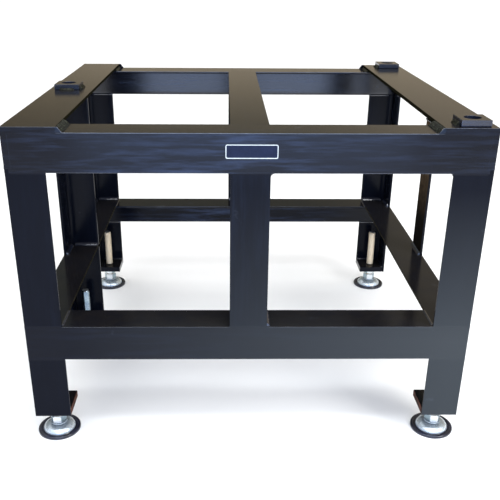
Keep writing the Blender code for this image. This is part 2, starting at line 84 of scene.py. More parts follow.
side_rail_low, side_rail_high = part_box("side_rail_left")
cross_low, cross_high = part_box("front_top_rail")
lower_low, lower_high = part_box("front_lower_rail")
frame_top, side_rail_bottom = side_rail_high.z, side_rail_low.z
side_rail_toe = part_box("side_rail_right")[0].x
cross_top, cross_bottom = cross_high.z, cross_low.z
lower_top, lower_bottom = lower_high.z, lower_low.z
plate_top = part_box("foot_plate_front_left")[1].z
half_width, half_depth = lower_high.x, side_rail_high.y
flange = cross_top - cross_bottom
wall = 6 * MM
half_flange = flange / 2
inner_x = half_width - wall
inner_y = half_depth - wall
toe_x = half_width - flange
toe_y = half_depth - flange
print("frame", round(2 * half_width, 4), round(2 * half_depth, 4), "flange", round(flange, 4))

# %% [markdown]
# ## Working on one piece at a time
# Blender's operators act on all that is selected, and the loaded solids are still selected.
# These helpers make one piece the only selected one, open and close it for editing, and pick the parts of its
# mesh that an operator should act on.

# %% Helpers for selecting and editing


def deselect_all():
    bpy.ops.object.select_all(action="DESELECT")


def work_on(piece):
    deselect_all()
    piece.select_set(True)
    bpy.context.view_layer.objects.active = piece


def added(name):
    """Names the piece that an operator just added."""
    piece = bpy.context.object
    piece.name = piece.data.name = name
    return piece


def select_all():
    bpy.ops.mesh.select_all(action="SELECT")


def start_editing(piece):
    work_on(piece)
    bpy.ops.object.mode_set(mode="EDIT")
    bpy.ops.mesh.select_mode(type="VERT")
    select_all()


def stop_editing():
    bpy.ops.object.mode_set(mode="OBJECT")


def merge_doubles():
    """Merges, in the open mesh, the points that lie on each other, and leaves all of them selected."""
    select_all()
    bpy.ops.mesh.remove_doubles(threshold=0.01 * MM)


def pick(piece, kind, test):
    """Selects, in the open mesh, the verts, edges or faces that pass a test, and nothing else."""
    bpy.ops.mesh.select_all(action="DESELECT")
    bpy.ops.mesh.select_mode(type={"verts": "VERT", "edges": "EDGE", "faces": "FACE"}[kind])
    mesh = bmesh.from_edit_mesh(piece.data)
    for part in [part for part in getattr(mesh, kind) if test(part)]:
        part.select_set(True)
    mesh.select_flush_mode()
    bmesh.update_edit_mesh(piece.data)


def copy_of(model, name):
    """A copy with a mesh of its own."""
    piece = bpy.data.objects.new(name, model.data.copy())
    piece.data.name = name
    bpy.context.scene.collection.objects.link(piece)
    return piece


def discard(*pieces):
    for piece in pieces:
        bpy.data.objects.remove(piece, do_unlink=True)


def repaint(piece, material, test):
    """Gives the faces that pass a test another material."""
    piece.data.materials.append(material)
    index = len(piece.data.materials) - 1
    for face in piece.data.polygons:
        if test(face):
            face.material_index = index


def cut_off(height, direction):
    """Cuts the open mesh square at a height, closes it there, and drops what lies beyond."""
    select_all()
    normal = (0, 0, direction)
    bpy.ops.mesh.bisect(plane_co=(0, 0, height), plane_no=normal, use_fill=True, clear_outer=True)


def move(x, y, z):
    """Moves what is selected in the open mesh."""
    bpy.ops.transform.translate(value=(x, y, z))


def stretched_cube(name, size):
    """A cube stretched to a size round the origin, left open for editing."""
    deselect_all()
    bpy.ops.mesh.primitive_cube_add(size=1, location=(0, 0, 0))
    piece = added(name)
    start_editing(piece)
    bpy.ops.transform.resize(value=size, center_override=(0, 0, 0))
    return piece


def shade(piece, angle=30):
    """Round faces are shaded smooth, and edges sharper than the angle stay edges."""
    work_on(piece)
    bpy.ops.object.shade_smooth_by_angle(angle=math.radians(angle))


def apply_modifier(piece, kind, **settings):
    """Adds a modifier, sets it and applies it."""
    work_on(piece)
    bpy.ops.object.modifier_add(type=kind)
    modifier = piece.modifiers[-1]
    for name, value in settings.items():
        setattr(modifier, name, value)
    bpy.ops.object.modifier_apply(modifier=modifier.name)


def flatten(piece):
    """Makes flat faces shade flat right up to their roundings: large faces get the say over the normals."""
    apply_modifier(piece, "WEIGHTED_NORMAL", mode="FACE_AREA", weight=100, keep_sharp=True)


def combine(piece, tool, operation):
    """Joins a piece with a tool, cuts the tool out of it or keeps what both share."""
    apply_modifier(piece, "BOOLEAN", operation=operation, solver="EXACT", object=tool)
    discard(tool)


# %% [markdown]
# ## The camera
# The photograph was taken from in front, a little left of the middle and at about chest height, looking down.
# The place, the lens and the small shift were found by fitting the frame's edges to those in the picture.

# %% Camera at the photograph's place
CAMERA_PLACE = (-0.0460, -1.6516, 0.9521)
LOOK_DOWN = math.radians(23.324)
LOOK_RIGHT = math.radians(0.960)
TILT = math.radians(0.4005)

camera_data = bpy.data.cameras.new("photo_camera")
camera_data.lens = 50.207
camera_data.sensor_width = 36
camera_data.shift_x = 0.02759
camera_data.shift_y = 0.02182
camera = bpy.data.objects.new("photo_camera", camera_data)
bpy.context.scene.collection.objects.link(camera)
turn = Matrix.Rotation(-LOOK_RIGHT, 4, "Z") @ Matrix.Rotation(math.radians(90) - LOOK_DOWN, 4, "X")
camera.matrix_world = Matrix.Translation(CAMERA_PLACE) @ turn @ Matrix.Rotation(TILT, 4, "Z")
bpy.context.scene.camera = camera
print("camera at", CAMERA_PLACE, "lens", camera_data.lens)

# %% [markdown]
# ## Patterns for the finishes
# Every finish is worked out from noise patterns in the piece's own coordinates, so it needs no pictures and
# stays on the metal when a foot turns. These helpers join the nodes.

# %% Node helpers


def new_node(kind, neighbour):
    """A new node in the tree that another node or a socket belongs to."""
    return neighbour.id_data.nodes.new("ShaderNode" + kind)


def feed(value, socket):
    """Gives a socket a plain value or colour, or joins another node's output to it."""
    if isinstance(value, bpy.types.NodeSocket):
        socket.id_data.links.new(value, socket)
    elif socket.type == "RGBA":
        socket.default_value = (*value, 1)
    else:
        socket.default_value = value


def feed_all(node, **values):
    """Feeds a node's sockets by name, with _ for each space."""
    for name, value in values.items():
        feed(value, node.inputs[name.replace("_", " ")])


def colour_ramp(stops, factor):
    """A ramp through (position, colour) stops, fed by a factor."""
    ramp = new_node("ValToRGB", factor)
    elements = ramp.color_ramp.elements
    while len(elements) < len(stops):
        elements.new(0.5)
    for element, (position, colour) in zip(elements, stops):
        element.position = position
        element.color = (*colour, 1)
    feed_all(ramp, Fac=factor)
    return ramp.outputs["Color"]


def new_material(name, roughness=0.5, metallic=0.0, specular=0.5):
    """A material with its shader, and the piece's own coordinates for patterns."""
    material = bpy.data.materials.new(name)
    material.use_nodes = True
    shader = material.node_tree.nodes["Principled BSDF"]
    feed_all(shader, Roughness=roughness, Metallic=metallic, Specular_IOR_Level=specular)
    return material, shader, new_node("TexCoord", shader).outputs["Object"]


def axes_of(vector):
    """The X, Y and Z of a vector."""
    split = new_node("SeparateXYZ", vector)
    feed_all(split, Vector=vector)
    return split.outputs


def stretched(place, scale):
    """The piece's coordinates, stretched, so that a pattern runs along it."""
    mapping = new_node("Mapping", place)
    feed_all(mapping, Scale=scale, Vector=place)
    return mapping.outputs["Vector"]


def noise(place, scale, detail=3.0, roughness=0.55):
    texture = new_node("TexNoise", place)
    feed_all(texture, Scale=scale, Detail=detail, Roughness=roughness, Vector=place)
    return texture.outputs["Fac"]


def mix(first, second, factor):
    """Mixes two colours, each a socket or a plain colour."""
    node = new_node("Mix", factor)
    node.data_type = "RGBA"
    for number, value in ((6, first), (7, second), (0, factor)):
        feed(value, node.inputs[number])
    return node.outputs[2]


def spread(value, low, high, new_low=0.0, new_high=1.0):
    """Stretches the part of a pattern between low and high over a new range."""
    node = new_node("MapRange", value)
    feed_all(node, Value=value, From_Min=low, From_Max=high, To_Min=new_low, To_Max=new_high)
    return node.outputs["Result"]


def patches(place, scale, detail, roughness, low, high, least=0.0, most=1.0):
    """Soft patches: the part of a noise between low and high, from least to most."""
    return spread(noise(place, scale, detail, roughness), low, high, least, most)


def times(first, second):
    node = new_node("Math", first)
    node.operation = "MULTIPLY"
    node.use_clamp = True
    for socket, value in zip(node.inputs, (first, second)):
        feed(value, socket)
    return node.outputs["Value"]


def bump(shader, *layers):
    """Chains (height, distance in metres) patterns into the shader's normal."""
    for height, distance in layers:
        node = new_node("Bump", shader)
        feed_all(node, Distance=distance, Height=height)
        if shader.inputs["Normal"].links:
            feed_all(node, Normal=shader.inputs["Normal"].links[0].from_socket)
        feed_all(shader, Normal=node.outputs["Normal"])


def coat(shader, colour, gloss=None):
    """Feeds the shader its colour and, where it varies, its roughness."""
    feed_all(shader, Base_Color=colour)
    if gloss is not None:
        feed_all(shader, Roughness=gloss)


def two_tone(name, colours, pattern, gloss=None, grain=None, **settings):
    """A finish of two colours in soft patches. Its gloss can vary with them, and it can have a fine grain."""
    material, shader, place = new_material(name, **settings)
    patch = patches(place, *pattern)
    roughness = spread(patch, 0.0, 1.0, *gloss) if gloss else None
    coat(shader, mix(*colours, patch), roughness)
    if grain:
        scale, distance = grain
        bump(shader, (noise(place, scale), distance))
    return material


# %% [markdown]
# ## Light and floor
# Gloss paint shows what is round it. Seen from the front and above, the tops of the rails mirror the low part
# of the room behind the stand, and the front faces mirror the floor before it.
# So the room is warm and dim low down behind, bluish in front, and white overhead, where it lights the pale
# floor and isn't mirrored. A low bluish window in front gives the front rail its cold gloss, a narrow strip
# overhead draws thin lines along the edges, and a small light at the right brightens the feet.

# %% Soft room light
bpy.context.scene.view_settings.view_transform = "Standard"


def room_light():
    """The room: warm and dim behind the stand, bluish daylight in front of it, bright overhead."""
    world = bpy.data.worlds.new("room")
    bpy.context.scene.world = world
    world.use_nodes = True
    background = world.node_tree.nodes["Background"]
    place = new_node("TexCoord", background)
    across, forth, height = axes_of(place.outputs["Generated"])
    behind_stops = [
        (0.0, (0.45, 0.44, 0.42)),
        (0.06, (0.36, 0.31, 0.25)),
        (0.14, (0.33, 0.275, 0.190)),
        (0.17, (0.27, 0.225, 0.150)),
        (0.21, (0.115, 0.100, 0.064)),
        (0.45, (0.120, 0.138, 0.120)),
        (0.72, (0.66, 0.66, 0.65)),
        (1.0, (1.5, 1.5, 1.5)),
    ]
    before_stops = [
        (0.0, (0.36, 0.41, 0.50)),
        (0.30, (0.22, 0.27, 0.37)),
        (0.60, (0.64, 0.66, 0.70)),
        (1.0, (1.5, 1.5, 1.5)),
    ]
    behind = colour_ramp(behind_stops, height)
    low_down = spread(height, 0.28, 0.36, 1.0, 0.0)
    left = times(spread(across, -0.12, -0.32, 0.0, 0.65), low_down)
    behind = mix(behind, (0.11, 0.085, 0.045), left)
    behind = mix(behind, (0.32, 0.265, 0.19), spread(across, 0.12, 0.30, 0.0, 0.7))
    before = colour_ramp(before_stops, height)
    colour = mix(behind, before, spread(forth, -0.35, 0.30, 1.0, 0.0))
    feed_all(background, Color=colour, Strength=1.75)


def soft_light(name, place, target, width, height, power, colour):
    """A large area light that faces a target."""
    data = bpy.data.lights.new(name, "AREA")
    data.shape = "RECTANGLE"
    data.size = width
    data.size_y = height
    data.energy = power
    data.color = colour
    light = bpy.data.objects.new(name, data)
    bpy.context.scene.collection.objects.link(light)
    direction = Vector(target) - Vector(place)
    light.matrix_world = Matrix.Translation(place) @ direction.to_track_quat("-Z", "Y").to_matrix().to_4x4()


room_light()
soft_light("overhead_strip", (0.1, -1.3, 2.5), (0, -0.2, 0.3), 3.2, 0.30, 30, (0.93, 0.97, 1.0))
soft_light("front_window", (0.05, -2.6, 0.72), (0.05, 0, 0.5), 1.7, 1.4, 26, (0.38, 0.56, 1.0))
soft_light("right_key", (1.7, -1.5, 1.4), (0.8, -0.7, 0.0), 0.9, 0.9, 30, (1.0, 1.0, 0.98))

# %% [markdown]
# A floor is a plane that was subdivided, so that it can carry a very soft change of tone and isn't a dead
# white sheet.

# %% Floor
FLOOR_SIZE = 70
FLOOR_TONES = ((0.90, 0.90, 0.90), (0.93, 0.93, 0.925))

deselect_all()
bpy.ops.mesh.primitive_plane_add(size=FLOOR_SIZE, location=(0, 0, 0))
floor = bpy.context.object
floor.name = "floor"
start_editing(floor)
bpy.ops.mesh.subdivide(number_cuts=3)
stop_editing()
floor.data.materials.append(two_tone("pale_floor", FLOOR_TONES, (0.8, 2.0, 0.55, 0.3, 0.7), roughness=0.75))
print("floor", [round(value, 1) for value in floor.dimensions])

# %% [markdown]
# ## Blue-black paint
# The frame has a semi-gloss enamel, brushed on along each bar and nearly black.
# Long faint streaks follow the bar and the gloss varies with them. Their lighter blue colour is partly brush
# marks and partly painted sheen, the light they catch, made strongest left of the middle as a painted
# reflection of the front window.
# A fine ripple breaks up reflections, and the warm shop dust on what faces up is partly real dust and partly
# a painted reflection of the warm room in the tops.
# The streaks run along the bar, so there is one paint for each of the three directions.

# %% Paint for bars along each axis
DARK_ENAMEL = (0.003, 0.004, 0.008)
STREAK_AND_SHEEN_ENAMEL = (0.034, 0.052, 0.105)
PAINTED_LIGHT_GREY = (0.034, 0.039, 0.043)
SMUDGE = (0.10, 0.115, 0.15)
DUST_AND_WARM_SHEEN = (0.042, 0.032, 0.015)


def normal_part(place, axis, low, high):
    """How much a surface faces along an axis, as 0 to 1 between two values of its normal."""
    geometry = new_node("NewGeometry", place)
    return spread(axes_of(geometry.outputs["Normal"])[axis], low, high)


def painted_light_gradient(place):
    """Painted light: the front faces are lightened a little from the middle of the stand to its lower right,
    where more light falls.
    """
    x, y, z = axes_of(place)
    across = spread(x, -0.36, 0.42)
    down = spread(z, 0.56, 0.24)
    front = spread(y, -0.408, -0.411)
    return times(times(across, down), times(front, normal_part(place, "Y", -0.6, -0.9)))


def middle(place):
    """Painted reflection: the streaks are made lightest a little left of the stand's middle, where the front
    window is mirrored in the front rail.
    """
    x = axes_of(place)["X"]
    return times(spread(x, -0.42, -0.16, 0.26, 1.0), spread(x, 0.02, 0.34, 1.0, 0.30))


def paint(name, along, brushed=1.0, specular=0.15, tint=1.0):
    """Brushed enamel: the brushed value says how much its streaks show, and tint lightens its colour."""
    material, shader, place = new_material(name, specular=specular)
    dark, light = (tuple(tint * part for part in colour) for colour in (DARK_ENAMEL, STREAK_AND_SHEEN_ENAMEL))
    long_scale = tuple(9.0 if axis == along else 110.0 for axis in "XYZ")
    hair_scale = tuple(6.0 if axis == along else 260.0 for axis in "XYZ")
    streak = patches(stretched(place, long_scale), 1.0, 5.0, 0.66, 0.46, 0.74)
    hair = noise(stretched(place, hair_scale), 1.0, 2.0, 0.5)
    # Painted reflection: the lighter streaks are strongest a little left of the stand's middle.
    patch = times(patches(place, 3.6, 4.0, 0.55, 0.34, 0.68, 0.15), middle(place))
    level = normal_part(place, "Z", 0.55, 0.95)
    streaks_and_sheen = times(times(streak, patch), spread(level, 0.0, 1.0, brushed, 0.2 * brushed))
    colour = mix(dark, light, streaks_and_sheen)
    # Painted light: lighter towards the front's lower right.
    colour = mix(colour, PAINTED_LIGHT_GREY, painted_light_gradient(place))
    colour = mix(colour, SMUDGE, patches(place, 17.0, 4.0, 0.6, 0.67, 0.78, 0.0, 0.22))
    dust_and_sheen = patches(place, 28.0, 5.0, 0.65, 0.25, 0.75, 0.35)
    # Partly real dust and partly painted reflection: upward faces are warmed towards brown, for the warm room
    # mirrored in the tops.
    colour = mix(colour, DUST_AND_WARM_SHEEN, times(times(level, dust_and_sheen), 0.20))
    coat(shader, colour, spread(streaks_and_sheen, 0.0, 1.0, 0.14, 0.28))
    bump(shader, (noise(place, 700.0, 2.0, 0.5), 0.00005), (hair, 0.00003))
    return material


def dull_paint(name, low_colour, high_colour):
    """Thin, matt paint, for the rails' sawn toes and a post that got one coat. It can change with height."""
    material, shader, place = new_material(name, specular=0.0)
    height = spread(axes_of(place)["Z"], 0.36, 0.50)
    wear = patches(place, 60.0, 5.0, 0.65, 0.35, 0.70, 0.0, 0.6)
    colour = mix(mix(low_colour, high_colour, height), (0.006, 0.006, 0.005), wear)
    coat(shader, colour, spread(wear, 0.0, 0.6, 0.24, 0.50))
    bump(shader, (noise(place, 500.0), 0.00005))
    return material


def scaly_paint():
    """Paint over the heavy beads' scale: nearly black, with small, rougher, lighter spots, partly scale and
    partly painted glints.
    """
    material, shader, place = new_material("scaly_paint", specular=0.10)
    scale = noise(place, 330.0, 4.0, 0.6)
    # Partly real scale and partly painted glints: the lighter spots stand for the small highlights on the
    # bead's ripples.
    spots = spread(scale, 0.50, 0.70)
    colour = mix((0.004, 0.004, 0.002), (0.066, 0.070, 0.050), spots)
    coat(shader, colour, spread(spots, 0.0, 1.0, 0.30, 0.55))
    bump(shader, (scale, 0.0012))
    return material


PAINTS = {
    "along_x": paint("frame_paint_along_x", "X", specular=0.18),
    # For the back rails' front faces: a glossier coat whose colour is also 1.1 times lighter, painted light
    # for the bright back web.
    "glossy_lighter_x": paint("glossy_lighter_paint_along_x", "X", specular=0.50, tint=1.1),
    "smooth_x": paint("smooth_paint_along_x", "X", brushed=0.15, specular=0.12),
    "along_y": paint("frame_paint_along_y", "Y", brushed=0.5),
    "along_z": paint("frame_paint_along_z", "Z", brushed=0.12, specular=0.08),
    "dull_post": dull_paint("dull_post_paint", (0.012, 0.010, 0.008), (0.100, 0.068, 0.042)),
}
# Along an edge the paint is thin, and handling has polished it.
EDGE_COLOURS = ((0.010, 0.014, 0.024), (0.045, 0.056, 0.080))
worn_edge = two_tone("edge_paint", EDGE_COLOURS, (55.0, 4.0, 0.6, 0.35, 0.70), (0.15, 0.30), specular=0.95)
toe_paint = dull_paint("dull_toe_paint", (0.026, 0.023, 0.015), (0.012, 0.011, 0.006))
# Painted light: the welds get the frame's enamel 2.2 times lighter, for the light their beads catch.
lit_weld_paint = paint("lit_weld_paint", "X", brushed=0.6, specular=0.9, tint=2.2)
heavy_weld_paint = scaly_paint()
# Painted light: the pads' sides get the enamel 2.2 times lighter, for the light they catch; their tops keep
# the plain paint.
pad_paint = paint("pad_paint", "X", brushed=1.0, specular=0.8, tint=2.2)
print("paints", sorted(item.name for item in bpy.data.materials if "paint" in item.name))

# %% [markdown]
# ## Zinc, nylon and rubber
# The studs, nuts, washers and cups are zinc plated with a faint yellow passivation that drifts to blue-green.
# The seat in each cup is natural nylon, and the ring is black rubber with a slight bloom.

# %% Finishes of the feet


def zinc(name, warm, cool, roughness, lathe_marks, metallic=1.0, shaded_above=None):
    """Plating over turned steel, with fine marks round the axis. Above a height it can be painted darker and
    bluer, as painted shade and reflection of the dark leg above.
    """
    material, shader, place = new_material(name, metallic=metallic)
    cloud = patches(place, 60.0, 4.0, 0.6, 0.3, 0.7)
    spots = patches(place, 420.0, 3.0, 0.6, 0.60, 0.78, 0.0, 0.15)
    colour = mix(warm, cool, cloud)
    if shaded_above is not None:
        # Painted shade and reflection: above this height the colour turns darker and bluer, for the dark leg
        # over the cup.
        height = spread(axes_of(place)["Z"], shaded_above, shaded_above + 7 * MM)
        colour = mix(colour, tuple(0.55 * part for part in cool), height)
    colour = mix(colour, (0.36, 0.38, 0.38), spots)
    marks = noise(stretched(place, (8.0, 8.0, lathe_marks)), 1.0, 2.0)
    coat(shader, colour, spread(cloud, 0.0, 1.0, roughness * 0.8, roughness * 1.25))
    bump(shader, (marks, 0.00003))
    return material


def nylon():
    material, shader, place = new_material("natural_nylon", roughness=0.45)
    coat(shader, mix((0.76, 0.74, 0.68), (0.82, 0.81, 0.76), noise(place, 90.0)))
    bump(shader, (noise(place, 1500.0, 2.0), 0.00002))
    return material


yellow_thread = zinc("yellow_thread_zinc", (0.88, 0.76, 0.58), (0.80, 0.72, 0.58), 0.50, 300.0, metallic=0.35)
white_thread = zinc("white_thread_zinc", (0.60, 0.70, 0.76), (0.40, 0.50, 0.60), 0.22, 300.0)
nut_zinc = zinc("nut_zinc", (0.90, 0.92, 0.92), (0.80, 0.86, 0.90), 0.30, 8.0, metallic=0.9)
# Painted shade: a darker, bluish copy of the nut's zinc for the hexagons' sideways flats.
shaded_side_zinc = zinc("blue_passivated_zinc", (0.38, 0.47, 0.50), (0.26, 0.35, 0.42), 0.30, 8.0)
cup_zinc = zinc("cup_zinc", (0.84, 0.90, 0.93), (0.70, 0.80, 0.88), 0.27, 60.0, 0.60, shaded_above=9 * MM)
nylon_finish = nylon()
RUBBER_COLOURS = ((0.002, 0.003, 0.010), (0.007, 0.010, 0.034))
rubber_bloom = (40.0, 4.0, 0.6, 0.35, 0.75)
rubber_finish = two_tone(
    "black_rubber", RUBBER_COLOURS, rubber_bloom, gloss=(0.16, 0.30), grain=(1300.0, 0.00003), specular=0.6
)
print("foot finishes", nut_zinc.name, cup_zinc.name, rubber_finish.name)


def dress(piece, material, body, slot, *replaced):
    """Gives a finished piece its material, the body it moves with and the solids it stands for; the slot
    argument is not used.
    """
    piece.data.materials.clear()
    piece.data.materials.append(material)
    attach(piece, body)
    if replaced:
        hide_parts(*replaced)


# %% [markdown]
# ## Bars with their edges taken off
# Rolled angle has no knife edges, and what is sawn is ground by hand. A fine rounding catches the light as
# the thin bright lines that outline the frame.
# Each bar starts as a copy of its solid: the copy's loose triangles are merged and its flat faces made whole.
# It is then cut along the planes where other bars meet it, and only edges that nothing touches are bevelled,
# because the others are under a weld.

# %% Round the free edges of the bars
JOINT_X = (-toe_x, -half_flange, half_flange, toe_x, -side_rail_toe, side_rail_toe)
JOINT_Y = (-toe_y, -half_flange, half_flange, toe_y, -inner_y, inner_y)
JOINT_Z = (cross_bottom, side_rail_bottom, lower_top, lower_bottom, plate_top)
EDGE_RADIUS = 1.1 * MM
TOUCHING = 0.7 * MM

BARS = {
    "along_x": ("front_top_rail", "back_top_rail"),
    "smooth_x": ("front_lower_rail", "back_lower_rail"),
    "along_y": ("side_rail_left", "side_rail_right", "centre_beam", "left_lower_rail", "right_lower_rail"),
    "along_z": tuple(name for name in sorted(nodes) if "leg_" in name or "post" in name),
}
FRAME_NODES = [name for name, node in sorted(nodes.items()) if node["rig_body"] == "frame"]


def rest_of_frame(left_out):
    """A search tree of every frame solid but one, to measure how near the others come."""
    points, triangles = [], []
    for name in FRAME_NODES:
        if name != left_out:
            start = len(points)
            points += [vertex.co.copy() for vertex in nodes[name].data.vertices]
            triangles += [[start + index for index in face.vertices] for face in nodes[name].data.polygons]
    return BVHTree.FromPolygons(points, triangles)


def merged_copy(node_name, piece_name):
    """A copy of a solid with its triangles merged into whole flat faces."""
    piece = copy_of(nodes[node_name], piece_name)
    work_on(piece)
    bpy.ops.mesh.customdata_custom_splitnormals_clear()
    start_editing(piece)
    merge_doubles()
    bpy.ops.mesh.dissolve_limited(angle_limit=math.radians(0.5))
    return piece


def cut_at_joints(low, high):
    """Splits the open mesh where other bars' edges cross it."""
    for axis, places in enumerate((JOINT_X, JOINT_Y, JOINT_Z)):
        normal = [0, 0, 0]
        normal[axis] = 1
        for place in places:
            if low[axis] + MM < place < high[axis] - MM:
                point = [0, 0, 0]
                point[axis] = place
                select_all()
                bpy.ops.mesh.bisect(plane_co=point, plane_no=normal)


def round_free_edges(node_name, piece_name):
    piece = merged_copy(node_name, piece_name)
    cut_at_joints(*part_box(node_name))
    others = rest_of_frame(node_name)

    def is_free(edge):
        if len(edge.link_faces) != 2 or edge.calc_face_angle() < math.radians(60):
            return False
        middle = (edge.verts[0].co + edge.verts[1].co) / 2
        nearest = others.find_nearest(middle)[3]
        return edge.calc_length() > 3 * EDGE_RADIUS and nearest > TOUCHING

    pick(piece, "edges", is_free)
    bpy.ops.mesh.bevel(offset=EDGE_RADIUS, segments=3, affect="EDGES", clamp_overlap=True)
    stop_editing()
    shade(piece, 25)
    flatten(piece)
    return piece


BAR_FINISHES = (worn_edge, toe_paint, PAINTS["along_x"], PAINTS["glossy_lighter_x"], PAINTS["dull_post"])


def finish_of(node_name, face, is_rounded, runs_back):
    """The finish of a bar's face, if it isn't the bar's own: polished across, or dull on a sawn toe."""
    normal = face.normal
    if is_rounded and abs(normal.x) < 0.15:
        return worn_edge
    if runs_back and abs(normal.x) > 0.15 and abs(face.center.x) < inner_x - MM:
        return toe_paint
    if runs_back and abs(normal.y) > 0.9 and face.center.z > cross_bottom:
        return PAINTS["along_x"]
    if normal.y < -0.9 and node_name in ("back_lower_rail", "back_top_rail"):
        return PAINTS["along_x" if node_name == "back_lower_rail" else "glossy_lighter_x"]
    if node_name == "right_mid_post" and normal.x < -0.9:
        return PAINTS["dull_post"]
    return None


def paint_bar(piece, material, node_name):
    rounded = {face.index for face in piece.data.polygons if face.select}
    dress(piece, material, "frame", "frame_paint", node_name)
    for other in BAR_FINISHES:
        piece.data.materials.append(other)
    low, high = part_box(node_name)
    runs_back = high.y - low.y > max(high.x - low.x, high.z - low.z)
    for face in piece.data.polygons:
        finish = finish_of(node_name, face, face.index in rounded, runs_back)
        if finish:
            face.material_index = 1 + BAR_FINISHES.index(finish)
    print(piece.name, "faces", len(piece.data.polygons), "of them rounded", len(rounded))


for paint_name, bar_names in BARS.items():
    for bar_name in bar_names:
        paint_bar(round_free_edges(bar_name, "worked_" + bar_name), PAINTS[paint_name], bar_name)

# %% [markdown]
# ## Foot plates
# Each leg is closed by a thick plate with the foot's hole in it. It was sawn from bar, so its upper and lower
# edges are only just broken.

# %% Foot plates
# Red-brown primer with a trace of rust, where the sawn sides were hardly painted.
PRIMER_COLOURS = ((0.020, 0.012, 0.010), (0.120, 0.042, 0.024))
rust = (45.0, 5.0, 0.6, 0.40, 0.62)
plate_primer = two_tone(
    "foot_plate_primer", PRIMER_COLOURS, rust, grain=(500.0, 0.00008), roughness=0.7, specular=0.1
)
for corner in CORNERS:
    node_name = "foot_plate_" + corner
    plate = round_free_edges(node_name, "worked_" + node_name)
    dress(plate, PAINTS["smooth_x"], "frame", "frame_paint", node_name)
    repaint(plate, plate_primer, lambda face: corner.startswith("front") and abs(face.normal.x) > 0.7)
print("foot plates", len(CORNERS))

# %% [markdown]
# ## Turning pieces on a lathe
# Cups, rings, washers and balls are round about one axis. A line is drawn by extruding a single vertex along
# the profile, and spin carries it round, as a lathe does. Where the line touches the axis, the points merge
# into a closed pole.

# %% Drawing and spinning a profile


def drawn_line(name, points):
    """A line through points, drawn by extruding one vertex from point to point, left open for editing."""
    deselect_all()
    bpy.ops.mesh.primitive_plane_add(size=0.01, location=(0, 0, 0))
    piece = added(name)
    start_editing(piece)
    bpy.ops.mesh.merge(type="CENTER")
    move(*points[0])
    for before, after in zip(points, points[1:]):
        step = Vector(after) - Vector(before)
        bpy.ops.mesh.extrude_vertices_move(TRANSFORM_OT_translate={"value": step})
    select_all()
    return piece


def arc(centre, radius, start, end, steps):
    """Points of an arc in the profile's plane, angles in degrees."""
    angles = [math.radians(start + (end - start) * step / steps) for step in range(steps + 1)]
    return [(centre[0] + radius * math.cos(angle), centre[1] + radius * math.sin(angle)) for angle in angles]


def turned(name, profile, sides, angle=30):
    """A body spun from (radius, height) points. A ring's profile ends at its first point."""
    piece = drawn_line(name, [(radius, 0, height) for radius, height in profile])
    bpy.ops.mesh.spin(steps=sides, angle=math.tau, center=(0, 0, 0), axis=(0, 0, 1))
    merge_doubles()
    bpy.ops.mesh.normals_make_consistent(inside=False)
    stop_editing()
    shade(piece, angle)
    return piece


def at_foot(model, name, corner):
    """A copy of a model made round the origin, moved in its mesh to a foot's axis."""
    low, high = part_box("lock_nut_" + corner)
    piece = copy_of(model, name)
    start_editing(piece)
    move((low.x + high.x) / 2, (low.y + high.y) / 2, 0)
    stop_editing()
    return piece


def copies_at_feet(model, part, material, body, slot):
    """A copy of a model for the same part of every foot. It moves with that foot's body of the given kind."""
    copies = []
    for corner in CORNERS:
        piece = at_foot(model, "fine_" + part + "_" + corner, corner)
        dress(piece, material, body + "_" + corner, slot, part + "_" + corner)
        copies.append(piece)
    print(part, "copies", len(copies), "faces each", len(model.data.polygons))
    discard(model)
    return copies


# %% [markdown]
# ## Hexagons
# The nut and the stud's own hexagon are cut from hexagonal bar. The lathe then takes their corners off at 30
# degrees, which leaves the curved edges that every nut has.
# A six-sided cylinder gives the bar, and what it shares with a double cone is the nut. The cones stand out
# past the bar's ends, and their sides aren't a multiple of six, so that no faces or edges coincide: a Boolean
# can lose those.

# %% Chamfered hexagon
HEX_LOW, HEX_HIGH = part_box("lock_nut_front_left")
HEX_FLATS = HEX_HIGH.y - HEX_LOW.y
HEX_CORNERS = HEX_FLATS / math.cos(math.radians(30))
CONE_SLOPE = math.tan(math.radians(30))
CONE_SIDES = 98
CONE_OVERRUN = 3 * MM


def shade_hexagon_sides(piece, bottom, top):
    """Painted shade: gives the four flats of a hexagon that face sideways a darker, bluish copy of the zinc,
    so the front and back flats look lit.
    """

    def is_sideways(face):
        steep, across = abs(face.normal.z) < 0.3, 0.8 < abs(face.normal.x) < 0.93
        return bottom < face.center.z < top and steep and across

    repaint(piece, shaded_side_zinc, is_sideways)


def hexagon(name, bottom, top):
    deselect_all()
    middle = (0, 0, (bottom + top) / 2)
    radius = HEX_CORNERS / 2
    bpy.ops.mesh.primitive_cylinder_add(vertices=6, radius=radius, depth=top - bottom, location=middle)
    piece = added(name)
    bpy.ops.object.transform_apply(location=True, rotation=True, scale=True)
    start_editing(piece)
    bpy.ops.transform.rotate(value=math.radians(30), orient_axis="Z", center_override=(0, 0, 0))
    stop_editing()
    reach = radius + MM
    flat = HEX_FLATS / 2 - 0.3 * MM
    fall = (reach - flat) * CONE_SLOPE
    rise = CONE_OVERRUN * CONE_SLOPE
    cones = [(0, top + rise), (flat - CONE_OVERRUN, top + rise), (reach, top - fall)]
    cones += [(reach, bottom + fall), (flat - CONE_OVERRUN, bottom - rise), (0, bottom - rise)]
    combine(piece, turned(name + "_cones", cones, CONE_SIDES), "INTERSECT")
    return piece


# %% [markdown]
# ## Lock nut
# The lock nut is tightened up against the foot plate and keeps the stud from turning. Its bore is countersunk
# at both ends.

